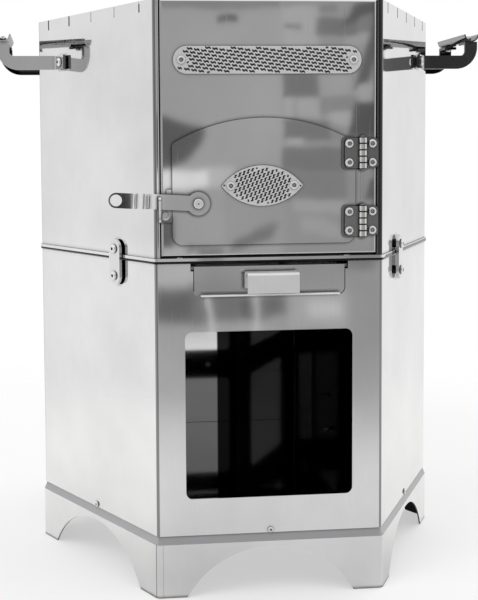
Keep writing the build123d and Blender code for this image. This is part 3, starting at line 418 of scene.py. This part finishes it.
def make_metal(
    name, bright, rough, wave=0.0, grain=1.0, warm=0.0, edge=0.6, painted_shade=0.85, spots=0.0, metal=1.0,
    marks=None, inside=None, inside_gloss=MIRROR_GLOSS,
):
    """Bare sheet or turned metal: cloudy gloss, fine rolled grain, scratches, a painted highlight on rims and
    painted shade in gaps.

    bright and rough are its tone and roughness, and wave is how far the sheet bulges. grain, warm, edge and
    spots are the strengths of the grain, a warm tint, the painted highlight on rims and dull specks; the
    argument after edge is the strength of the painted shade in gaps. metal is a share or gives one by place.
    marks changes the tone in some places. inside gives the painted shade of faces that look towards the
    stove's axis, and inside_gloss the limits of their roughness.
    """
    material, g, place = start_material(name)
    cloud = g.noise(place, 9.0, 3.0, 0.55)
    smear = g.noise(g.stretched(place, SMEARS, 12.0), 1.0, 4.0, 0.6)
    fine = g.noise(g.stretched(place, GRAIN), 1.0, 2.0, 0.6)
    scratch = g.step(g.noise(g.stretched(place, SCRATCHES, 33.0), 1.0, 1.0, 0.5), 0.70, 0.80)

    colour = (bright * (1 + warm), bright, bright * (1 - warm))
    dull = tuple(c * 0.90 for c in colour) + (1.0,)
    shiny = tuple(min(c * 1.04, 1.0) for c in colour) + (1.0,)
    tone = g.colour(g.line(cloud, 0.3, 0.7), dull, shiny)
    tone = g.colour(g.math("MULTIPLY", g.line(fine, 0.3, 0.7), 0.10 * grain), tone, grey(0.55))
    # Painted highlight on the rims, and painted shade in narrow gaps and at the foot of standing pieces
    tone = g.colour(g.math("MULTIPLY", edge_share(g, RIM_RADIUS), edge), tone, RIM_HIGHLIGHT)
    tone = g.colour(g.math("MULTIPLY", gap_share(g), painted_shade), tone, SHADE_BLACK)
    if spots:
        speck = g.step(g.noise(place, 260.0, 2.0, 0.7), 0.62, 0.72)
        tone = g.colour(g.math("MULTIPLY", speck, spots), tone, (0.22, 0.19, 0.17, 1.0))
    gloss = g.line(smear, 0.25, 0.75, rough * 0.85, rough * 1.2)
    gloss = g.math("ADD", gloss, g.math("MULTIPLY", scratch, 0.03))
    gloss = g.math("ADD", gloss, g.math("MULTIPLY", fine, 0.012 * grain))
    if marks:
        tone = marks(g, place, tone)
    # Faces that look towards the axis take the inside tone, which is painted shade
    if inside:
        inner = inner_share(g, place)
        tone = g.colour(inner, tone, inside(g, place))
        gloss = g.blend(inner, gloss, g.line(cloud, 0.3, 0.7, *inside_gloss))
    height = g.math("MULTIPLY", fine, 0.0006 * grain)
    height = g.math("ADD", height, g.math("MULTIPLY", scratch, -0.002))
    if wave:
        height = g.math("ADD", height, g.math("MULTIPLY", g.noise(place, 7.0, 1.0, 0.4), wave))
    end_material(g, tone, gloss, metal(g, place) if callable(metal) else metal, height, 1.0)
    return material


def shaded_inner_walls(g, place):
    """Inner walls painted black as shade above, in front and on the right, and still mirror low at the back
    left.
    """
    x, y, z = g.split(place)
    unshaded = g.math("MULTIPLY", g.step(y, 0.02, 0.12), g.step(x, 0.095, 0.105, 1.0, 0.0))
    unshaded = g.math("MULTIPLY", unshaded, g.step(z, 0.332, 0.338, 1.0, 0.0))

    # Painted shade: a black run down the wall, and a duller patch low on it
    from_run = g.math("ABSOLUTE", g.math("SUBTRACT", x, 0.018))
    unshaded = g.math("MULTIPLY", unshaded, g.step(from_run, 0.012, 0.0145))
    from_patch = g.math("ABSOLUTE", g.math("ADD", x, 0.04))
    low = g.colour(g.step(from_patch, 0.068, 0.074), grey(0.40), grey(0.95))
    wall = g.colour(g.step(z, 0.15, 0.165), low, grey(0.90))
    return g.colour(unshaded, grey(0.018), wall)


def shaded_chamber_walls(g, place):
    """Painted shade on the walls of the fire chamber: near black, streaked upwards."""
    streak = g.noise(g.stretched(place, (40.0, 40.0, 7.0)), 1.0, 4.0, 0.6)
    return g.colour(g.line(streak, 0.3, 0.7), (0.035, 0.033, 0.032, 1.0), ASH_AND_SHADE)


# Metal share, lower on the inner faces that are painted dark as shade
def shaded_inside_metal(g, place):
    return g.blend(inner_share(g, place), 1.0, 0.3)


def shaded_arm_back(g, place):
    """Painted shade on the backs of the arms, darker on the right."""
    return g.colour(g.step(g.split(place)[0], -0.01, 0.01), grey(0.22), grey(0.07))


# Painted shade on the backs of the brackets
def shaded_back(g, place):
    return grey(0.30)


# Painted shade on the backs of the join plates
def shaded_black_back(g, place):
    return SHADE_BLACK


def lip_share(g, place):
    """One on the lip that is bent out under the drawer's front."""
    front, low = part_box("drawer_pull")[1].y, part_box("ash_drawer")[0].z
    _, y, z = g.split(place)
    outside = g.step(y, front - 0.0012, front - 0.0008, 1.0, 0.0)
    return g.math("MULTIPLY", outside, g.step(z, low + 0.004, low + 0.005, 1.0, 0.0))


# Painted highlight: the lip under the drawer's front painted white
def lip_highlight(g, place, tone):
    return g.colour(lip_share(g, place), tone, (0.96, 0.96, 0.95, 1.0))


# Metal share on the lip, low so that its painted highlight shows
def lip_highlight_metal(g, place):
    return g.blend(lip_share(g, place), 1.0, 0.1)


def shaded_folds(g, place, tone):
    """Painted shade: darker lines along the upright folds of the shells."""
    fold = g.step(g.vector("LENGTH", flat_offset(g, place, AXIS)), *FOLD_RADII)
    return g.colour(g.math("MULTIPLY", fold, 0.65), tone, grey(0.05))


def shaded_flange(g, place, tone):
    """The painted shade along the folds, and the flange beside the right edge of the front panel painted dark
    as shade.
    """
    x, y, _ = g.split(place)
    flange = g.math("MULTIPLY", g.step(x, *FLANGE_SIDE), g.step(y, *FLANGE_FRONT, 1.0, 0.0))
    return g.colour(g.math("MULTIPLY", flange, 0.85), shaded_folds(g, place, tone), SHADE_BLACK)


def seam_shade(g, place, tone):
    """Painted shade: dark line low on the tray's rim, where it sits on the lower shell, wider on the right."""
    x, _, z = g.split(place)
    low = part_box("floor_tray")[0].z
    top = g.math("ADD", g.step(x, 0.115, 0.12, 0.0026, 0.0046), low)
    line = g.math("MULTIPLY", g.step(z, low - 0.0001, low), g.math("LESS_THAN", z, top))
    return g.colour(line, tone, grey(0.02))


def tray_marks(g, place, tone):
    """Ash and soot on the tray's floor, and the painted shade line on its rim."""
    up = g.split(g.add("ShaderNodeNewGeometry").outputs["True Normal"])[2]
    ash = g.colour(g.line(g.noise(place, 30.0, 4.0, 0.6), 0.3, 0.7), grey(0.04), ASH_AND_SHADE)
    return g.colour(g.step(up, 0.5, 0.9), seam_shade(g, place, tone), ash)


def step_share(g, place):
    """One on the slanted band at the top of the skirt."""
    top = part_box("lower_shell")[0].z
    return g.band(g.split(place)[2], top - STEP_HEIGHT, top + 0.0002, 0.0004)


def step_reflection_and_shade(g, place, tone):
    """Painted reflection: grey on the slanted band; and a painted shade line along the outline of the flap
    that overlaps at the front left corner.
    """
    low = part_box("base_skirt")[0]
    away = g.vector("LENGTH", flat_offset(g, place, (low.x / 2, low.y, 0.0)))
    on_front = g.math("LESS_THAN", g.split(place)[1], low.y + 0.0003)
    edge = g.blend(on_front, 0.0022, 0.0055)
    line = g.step(g.math("ABSOLUTE", g.math("SUBTRACT", away, edge)), 0.0003, 0.0006, 1.0, 0.0)
    tone = g.colour(g.math("MULTIPLY", line, g.blend(on_front, 0.75, 0.25)), tone, grey(0.06))
    return g.colour(step_share(g, place), tone, (0.39, 0.39, 0.40, 1.0))


# Metal share on the slanted band, low so that its painted reflection shows
def step_reflection_metal(g, place):
    return g.blend(step_share(g, place), 1.0, 0.15)


def knuckle_highlight_and_gap_shade(g, place, tone):
    """Painted highlight: knuckles brighter than the leaves, with painted shade as black gaps between them."""
    _, y, z = g.split(place)
    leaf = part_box("lower_hinge_frame_leaf")
    lower, upper = leaf[0].z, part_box("upper_hinge_frame_leaf")[0].z
    start = g.blend(g.math("GREATER_THAN", z, (lower + upper) / 2), lower, upper)
    pitch = (leaf[1].z - lower) / KNUCKLES
    share = g.math("FRACT", g.math("ADD", g.math("DIVIDE", g.math("SUBTRACT", z, start), pitch), 10.0))
    away = g.math("ABSOLUTE", g.math("SUBTRACT", share, 0.5))
    knuckle = g.colour(g.step(away, 0.36, 0.42), (0.74, 0.74, 0.73, 1.0), grey(0.02))
    pin_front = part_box("lower_hinge_pin")[0].y
    proud = g.step(y, pin_front + 0.0018, pin_front + 0.0022, 1.0, 0.0)
    return g.colour(proud, tone, knuckle)


def make_iron(name):
    """Grey cast iron with a sandy skin."""
    material, g, place = start_material(name)
    sand = g.noise(place, 900.0, 4.0, 0.65)
    cloud = g.noise(place, 25.0, 4.0, 0.6)
    tone = g.colour(cloud, (0.030, 0.029, 0.028, 1.0), (0.075, 0.072, 0.068, 1.0))
    # Painted highlight on the edges
    tone = g.colour(g.math("MULTIPLY", edge_share(g, 0.0008), 0.5), tone, (0.20, 0.20, 0.19, 1.0))
    gloss = g.line(cloud, 0.3, 0.7, 0.45, 0.65)
    height = g.math("ADD", g.math("MULTIPLY", sand, 0.25), g.math("MULTIPLY", cloud, 0.6))
    end_material(g, tone, gloss, 0.7, height, 0.6)
    return material


SHELL = {"bright": 0.82, "rough": 0.042, "wave": 0.12}
PANEL = {"bright": 0.78, "rough": 0.032, "wave": 0.05, "grain": 0.5}
# Inner faces painted dark as shade, with less metal
SHADED_INSIDE = {"metal": shaded_inside_metal, "inside": shaded_chamber_walls, "inside_gloss": SHADED_INSIDE_GLOSS}
MATERIALS = {
    "shell_sheet": make_metal("shell_steel", **SHELL, painted_shade=0.5, marks=shaded_folds, inside=shaded_inner_walls),
    "panel_sheet": make_metal("panel_steel", **PANEL),
    "plate_sheet": make_metal("plate_steel", 0.92, 0.42, edge=0.3, metal=0.55, painted_shade=0.3),
    "hinge_steel": make_metal("hinge_steel", 0.40, 0.12, grain=0.8, marks=knuckle_highlight_and_gap_shade),
    "latch_steel": make_metal("latch_steel", 0.78, 0.03, wave=0.03, grain=0.5),
    "bracket_steel": make_metal("bracket_steel", 0.74, 0.07, grain=0.9, inside=shaded_back),
    "fastener_zinc": make_metal(
        "fastener_zinc", 0.90, 0.32, warm=0.01, edge=0.5, painted_shade=1.0, spots=0.25, metal=0.7,
    ),
    "grate_iron": make_iron("grate_iron"),
}
FRONT_STEEL = make_metal("front_panel_steel", **PANEL, **SHADED_INSIDE)
PULL_STEEL = make_metal("pull_steel", 0.92, 0.40, metal=0.6)
JOIN_STEEL = make_metal("join_steel", 0.78, 0.06, grain=0.9, painted_shade=0.4, inside=shaded_black_back)
ARM_STEEL = make_metal("arm_steel", 0.74, 0.07, grain=0.9, inside=shaded_arm_back)
# Black of the liner, painted shade behind the slots
SHADE_LINER = make_metal("painted_shade", 0.02, 0.7, edge=0.0, metal=0.0)
BY_NODE = {
    "front_panel": FRONT_STEEL,
    "base_floor": FRONT_STEEL,
    "upper_shell": make_metal("upper_shell_steel", **SHELL, **SHADED_INSIDE, painted_shade=0.5, marks=shaded_flange),
    "floor_tray": make_metal("tray_steel", **SHELL, painted_shade=0.5, marks=tray_marks, inside=shaded_chamber_walls),
    "base_skirt": make_metal("skirt_steel", **SHELL, metal=step_reflection_metal, marks=step_reflection_and_shade, inside=shaded_inner_walls),
    "ash_drawer": make_metal("drawer_steel", 0.76, 0.11, wave=0.04, metal=lip_highlight_metal, marks=lip_highlight),
    "drawer_pull": PULL_STEEL,
}
for corner in ("front_left", "front_right", "rear_left", "rear_right"):
    BY_NODE["join_plate_" + corner] = JOIN_STEEL
    BY_NODE["handle_arm_" + corner] = ARM_STEEL


def dress_cad_nodes():
    slots = {}
    for material in frame["record"]["materials"]:
        for node in material.get("nodes", []):
            slots[node] = material["slot"]
    for name, node in NODES.items():
        slot = slots.get(name) or node.data.materials[0].name.split(".")[0]
        node.data.materials.clear()
        node.data.materials.append(BY_NODE.get(name, MATERIALS[slot]))


# Small parts, turned about their own axis, in millimetres. +Z is the way that their heads point.

WELD = 2e-6  # corner points are joined if they round to the same place at this pitch, in metres


def ring_points(radius, height, kind, count):
    points = []
    for i in range(count):
        angle = 2 * pi * i / count
        reach = radius
        if kind == "hex":
            reach = radius / cos((angle + pi / 6) % (pi / 3) - pi / 6)
        points.append(Vector((reach * cos(angle), reach * sin(angle), height)))
    return points


def turned(rings, count=24):
    """Points and faces of a turned shape. Each ring is radius, height and kind; radius 0 closes an end."""
    points, faces, previous = [], [], None
    for radius, height, *kind in rings:
        start = len(points)
        if radius == 0:
            points.append(Vector((0, 0, height)))
            current = [start] * count
        else:
            points += ring_points(radius, height, kind[0] if kind else "round", count)
            current = list(range(start, start + count))
        if previous:
            for i in range(count):
                j = (i + 1) % count
                face = [previous[i], previous[j], current[j], current[i]]
                face = [p for k, p in enumerate(face) if p != face[k - 1]]
                if len(face) > 2:
                    faces.append(face[::-1])
        previous = current
    return points, faces


def islands(node):
    """Corner points of each separate solid in a CAD node."""
    mesh = NODES[node].data
    keys = [tuple(round(c / WELD) for c in v.co) for v in mesh.vertices]
    parent = {}

    def root(key):
        while parent.setdefault(key, key) != key:
            parent[key] = parent[parent[key]]
            key = parent[key]
        return key

    for face in mesh.polygons:
        first = root(keys[face.vertices[0]])
        for v in face.vertices[1:]:
            parent[root(keys[v])] = first
    found = {}
    for vertex, key in zip(mesh.vertices, keys):
        if key in parent:
            found.setdefault(root(key), []).append(vertex.co.copy())

    def middle(key):
        return tuple(sum(found[key], Vector()) / len(found[key]))

    return [found[key] for key in sorted(found, key=middle)]


def axis_of(points, rule):
    """Direction in which a fastener's head points."""
    middle = sum(points, Vector()) / len(points)
    if rule == "wall":
        angle = round((degrees(atan2(middle.y - MIDDLE_Y, middle.x)) - 30) / 60) * 60 + 30
        return Vector((cos(radians(angle)), sin(radians(angle)), 0))
    if rule == "side":
        return Vector((-1 if middle.x > 0 else 1, 0, 0))
    return Vector(rule)


def place_of(points, axis):
    """Frame with its origin on the fastener's own axis at its outermost level, and its whole length."""
    heights = [p.dot(axis) for p in points]
    lowest, highest = min(heights), max(heights)
    turn = axis.to_track_quat("Z", "Y").to_matrix().to_4x4()
    local = [turn.inverted() @ p for p in points]
    x = (min(p.x for p in local) + max(p.x for p in local)) / 2
    y = (min(p.y for p in local) + max(p.y for p in local)) / 2
    return turn @ Matrix.Translation((x, y, highest)), highest - lowest


def finish_piece(mesh, name, body, slot, node, sharp=38.0, material=None):
    """Make the mesh a piece that rides on the body and stands for the node. sharp is in degrees."""
    mesh.validate()
    mesh.polygons.foreach_set("use_smooth", [True] * len(mesh.polygons))
    mesh.set_sharp_from_angle(angle=radians(sharp))
    mesh.materials.append(material or MATERIALS[slot])
    piece = bpy.data.objects.new(name, mesh)
    bpy.context.scene.collection.objects.link(piece)
    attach(piece, body)
    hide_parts(node)


def make_small_parts(name, node, body, rule, rings_for, slot="fastener_zinc", count=24, material=None):
    """One piece for all solids of a node, each a turned shape in its place. rings_for gets the length."""
    points, faces = [], []
    for solid in islands(node):
        place, length = place_of(solid, axis_of(solid, rule))
        local_points, local_faces = turned(rings_for(length / MM), count)
        start = len(points)
        points += [place @ (point * MM) for point in local_points]
        faces += [[start + i for i in face] for face in local_faces]
    mesh = bpy.data.meshes.new(name)
    mesh.from_pydata(points, [], faces)
    finish_piece(mesh, name, body, slot, node, material=material)


def rivet_rings(length):
    """Blind rivet: crown with a crater and the mandrel's broken end in it, shank and upset foot."""
    return [
        (0, -1.05), (0.35, -0.95), (0.55, -0.62), (1.05, -0.55), (1.15, -1.0), (1.75, -1.05), (1.95, -0.15),
        (2.15, 0), (2.6, -0.03), (3.3, -0.28), (3.9, -0.72), (4.25, -1.2), (4.3, -1.6), (2.0, -1.6),
        (2.0, -length + 2.4), (2.45, -length + 2.0), (2.7, -length + 1.2), (2.5, -length + 0.4),
        (1.9, -length), (1.2, -length), (1.1, -length + 0.8), (0, -length + 0.8),
    ]


def button_rings(length):
    """Button head with a hexagon socket, on a shank with a chamfered end."""
    return [
        (0, -1.9), (1.5, -1.8, "hex"), (1.5, -0.2, "hex"), (1.75, 0), (2.3, -0.03), (3.2, -0.35),
        (4.0, -1.0), (4.55, -1.8), (4.8, -2.5), (4.7, -2.8), (2.5, -2.8), (2.5, -length + 0.5),
        (2.1, -length), (0, -length),
    ]


def flat_rings(length):
    """Rivet with a low head."""
    return [
        (0, -0.95), (3.2, -1.0), (4.0, -1.15), (4.25, -1.4), (4.3, -1.6), (2.0, -1.6), (2.0, -length + 2.4),
        (2.6, -length + 1.2), (1.9, -length), (0, -length),
    ]


def pan_rings(length):
    """Low screw head with a small hexagon socket."""
    return [
        (0, -1.2), (1.0, -1.1, "hex"), (1.0, -0.1, "hex"), (1.2, 0), (1.9, -0.08), (2.6, -0.45), (2.95, -1.1),
        (3.0, -1.8), (2.0, -1.8), (2.0, -length + 0.4), (1.7, -length), (0, -length),
    ]


def pivot_rings(length):
    """Flat bolt head with a small hexagon socket."""
    return [
        (0, -0.9), (0.75, -0.85, "hex"), (0.75, -0.1, "hex"), (0.95, 0), (3.6, -0.06), (4.45, -0.3),
        (4.85, -0.8), (4.9, -2.4), (3.0, -2.4), (3.0, -length + 0.5), (2.6, -length), (0, -length),
    ]


def nut_rings(flat, bore):
    """Hexagon nut, from half its width across the flats and its bore's radius."""
    def rings(length):
        return [
            (bore, -0.3), (bore + 0.3, 0), (flat * 0.96, 0), (flat, -0.35, "hex"),
            (flat, -length + 0.35, "hex"), (flat * 0.96, -length), (bore + 0.3, -length),
            (bore, -length + 0.3), (bore, -0.3),
        ]
    return rings


def collar_rings(outer, bore):
    """Spacer or washer, from its two radii."""
    def rings(length):
        return [
            (bore, -0.15), (bore + 0.15, 0), (outer - 0.3, 0), (outer, -0.3), (outer, -length + 0.3),
            (outer - 0.3, -length), (bore + 0.15, -length), (bore, -length + 0.15), (bore, -0.15),
        ]
    return rings


def pin_rings(length):
    """Hinge pin with a thin crowned head at each end."""
    return [
        (0, 0), (1.6, -0.05), (2.6, -0.3), (3.0, -0.7), (3.0, -1.0), (2.0, -1.0), (2.0, -length + 1.0),
        (3.0, -length + 1.0), (3.0, -length + 0.7), (2.6, -length + 0.3), (1.6, -length + 0.05), (0, -length),
    ]


OUT = (0, -1, 0)
UP = (0, 0, 1)


def make_fasteners():
    make_small_parts("rivet_heads_header", "header_plate_rivets", "stove_body", OUT, rivet_rings)
    make_small_parts("rivet_heads_hinge_frame", "hinge_frame_rivets", "stove_body", OUT, rivet_rings)
    make_small_parts("rivet_head_keeper", "keeper_rivet", "stove_body", OUT, flat_rings, "latch_steel")
    make_small_parts("rivet_heads_panel_folds", "front_panel_rivets", "stove_body", "side", rivet_rings)
    make_small_parts("rivet_heads_floor", "base_floor_rivets", "stove_body", UP, rivet_rings)
    make_small_parts("rivet_heads_runners", "runner_rivets", "stove_body", UP, rivet_rings)
    make_small_parts("rivet_heads_door_plate", "door_plate_rivets", "fire_door", OUT, rivet_rings)
    make_small_parts("rivet_heads_hinge_door", "hinge_door_rivets", "fire_door", OUT, rivet_rings)
    make_small_parts("rivet_heads_pull", "pull_rivets", "drawer", OUT, rivet_rings)
    make_small_parts("screws_base", "base_screws", "stove_body", "wall", pan_rings)
    make_small_parts("bolts_join", "join_bolts", "stove_body", "wall", button_rings)
    make_small_parts("bolts_handle", "handle_bolts", "stove_body", "wall", button_rings)
    make_small_parts("screws_grip", "grip_screws", "stove_body", (0, 0, -1), pan_rings)
    make_small_parts("bolt_latch", "latch_bolt", "fire_door", OUT, pivot_rings, material=PULL_STEEL)
    make_small_parts("nuts_base", "base_nuts", "stove_body", "wall", nut_rings(3.5, 2.0))
    make_small_parts("nuts_join", "join_nuts", "stove_body", "wall", nut_rings(4.0, 2.5))
    make_small_parts("nuts_handle", "handle_nuts", "stove_body", "wall", nut_rings(4.0, 2.5))
    make_small_parts("nuts_grip", "grip_nuts", "stove_body", (0, 0, -1), nut_rings(3.5, 2.0))
    make_small_parts("nut_latch", "latch_nut", "fire_door", OUT, nut_rings(5.0, 3.0))
    make_small_parts("spacers_join", "join_spacers", "stove_body", "wall", collar_rings(4.4, 2.55))
    make_small_parts("washers_handle", "handle_washers", "stove_body", "wall", collar_rings(6.0, 2.55))
    for level in ("lower", "upper"):
        name = f"pin_{level}_hinge"
        make_small_parts(name, f"{level}_hinge_pin", "stove_body", UP, pin_rings, "hinge_steel", 32)


# Plates with a plain pattern of short slots, in millimetres from the plate's middle

RIVET_CLEARANCE = 4.6  # bare metal round a rivet's axis, and inside the rim
RIM_CLEARANCE = 1.3
LINER = 0.3  # thickness of the black sheet behind the slots, put there as painted shade
SLOT_SHARES = (1.0, 0.75, 0.5, 0.36)  # shorter slots where a whole one has no room


def slot_outline(centre, length, width, angle):
    """Points round one short wavy slot."""
    half = length / 2 - width / 2
    points = []
    for side in (-1, 1):
        points.append((side * half * 0.45, -side * width / 2))
        for i in range(5):
            bend = pi * (i / 4 - 0.5)
            points.append((side * (half + width / 2 * cos(bend)), side * width / 2 * sin(bend)))
        points.append((side * half * 0.45, side * width / 2))
    points = [(x, z + width / 4 * sin(pi * x / half)) for x, z in points]
    along, up = cos(angle), sin(angle)
    return [(centre[0] + x * along - z * up, centre[1] + x * up + z * along) for x, z in points]


def slot_places(half, inside, rivets, tilt, step, length, width):
    """Places and lengths of the slots: staggered rows along the tilt, shortened where they near a rim."""
    along, apart = step
    run = (cos(tilt), sin(tilt))
    reach = int((half.x + half.z) / min(step)) + 2
    found = []
    for row in range(-reach, reach + 1):
        for column in range(-reach, reach + 1):
            a = (column + (row % 2) / 2) * along
            b = row * apart
            x, z = a * run[0] - b * run[1], a * run[1] + b * run[0]
            for share in SLOT_SHARES:
                tip = share * length / 2
                ends = [(x + side * tip * run[0], z + side * tip * run[1]) for side in (-1, 0, 1)]
                gaps = [sqrt((e[0] - rivet) ** 2 + e[1] ** 2) for e in ends for rivet in rivets]
                if min(gaps) > RIVET_CLEARANCE + width / 2 and all(inside(*e) for e in ends):
                    found.append((x, z, share * length))
                    break
    return found


def cut_sheet(name, loops, low, high, place):
    """Mesh of a flat sheet between two depths, from its outline and the holes in it."""
    curve = bpy.data.curves.new(name, "CURVE")
    curve.dimensions = "2D"
    curve.fill_mode = "BOTH"
    curve.extrude = (high - low) / 2
    for loop in loops:
        spline = curve.splines.new("POLY")
        spline.points.add(len(loop) - 1)
        for point, (x, z) in zip(spline.points, loop):
            point.co = (x * MM, z * MM, 0, 1)
        spline.use_cyclic_u = True
    maker = bpy.data.objects.new(name + "_outline", curve)
    bpy.context.scene.collection.objects.link(maker)
    bpy.context.view_layer.update()
    mesh = bpy.data.meshes.new_from_object(maker.evaluated_get(bpy.context.evaluated_depsgraph_get()))
    bpy.data.objects.remove(maker)
    mesh.name = name
    centre = Vector((place.x, (low + high) / 2, place.z))
    mesh.transform(Matrix.Translation(centre) @ Matrix.Rotation(pi / 2, 4, "X"))
    return mesh


def make_slotted_plate(name, node, body, outline, inside, rivets, tilt, step, length, width):
    """Thin plate cut through by rows of short slots, on a black liner that is painted shade."""
    low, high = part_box(node)
    half = (high - low) / 2 / MM
    loops = [outline]
    for x, z, size in slot_places(half, inside, rivets, tilt, step, length, width):
        loops.append(slot_outline((x, z), size, width, tilt))
    middle = (low + high) / 2
    split = high.y - LINER * MM
    sheet = cut_sheet(name, loops, low.y, split, middle)
    finish_piece(sheet, name, body, "plate_sheet", node, sharp=30.0)
    liner = cut_sheet(name + "_liner", [outline], split, high.y, middle)
    finish_piece(liner, name + "_liner", body, "plate_sheet", node, sharp=30.0, material=SHADE_LINER)


def obround(half_length, radius, count=24):
    """Outline of a bar with round ends."""
    points = []
    for side in (1, -1):
        for i in range(count + 1):
            angle = pi * (i / count - 0.5)
            points.append((side * (half_length - radius + radius * cos(angle)), side * radius * sin(angle)))
    return points


def lens_radius(half_length, half_height):
    return (half_length**2 + half_height**2) / (2 * half_height)


def lens(half_length, half_height, count=32):
    """Outline between two arcs that meet in points."""
    radius = lens_radius(half_length, half_height)
    reach = atan2(half_length, radius - half_height)
    points = []
    for side in (1, -1):
        for i in range(count):
            angle = reach - 2 * reach * i / count
            points.append((side * radius * sin(angle), side * (radius * cos(angle) - radius + half_height)))
    return points


def half_size(node):
    low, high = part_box(node)
    return (high.x - low.x) / 2 / MM, (high.z - low.z) / 2 / MM


def make_plates():
    bar_x, bar_z = half_size("header_plate")
    lens_x, lens_z = half_size("door_plate")
    radius = lens_radius(lens_x, lens_z)

    def in_bar(x, z):
        past = max(abs(x) - (bar_x - bar_z), 0)
        return sqrt(past**2 + z**2) < bar_z - RIM_CLEARANCE

    def in_lens(x, z):
        return sqrt(x**2 + (abs(z) + radius - lens_z) ** 2) < radius - RIM_CLEARANCE

    make_slotted_plate(
        "header_plate_slotted", "header_plate", "stove_body", obround(bar_x, bar_z), in_bar,
        rivets=(bar_x - 7.8, 7.8 - bar_x), tilt=radians(-8), step=(7.0, 3.3), length=6.1, width=2.1,
    )
    make_slotted_plate(
        "door_plate_slotted", "door_plate", "fire_door", lens(lens_x, lens_z), in_lens,
        rivets=(lens_x - 9.0, 9.0 - lens_x), tilt=radians(64), step=(6.4, 3.1), length=5.6, width=1.95,
    )


# The whole scene

make_world()
make_camera()
make_floor()
make_lamp("key_lamp", (-1.3, -1.2, 2.2), 1.2, 14.0)
make_lamp("fill_lamp", (1.5, 0.8, 2.0), 1.6, 10.0)
dress_cad_nodes()
make_fasteners()
make_plates()

bpy.context.scene.view_settings.view_transform = "Standard"
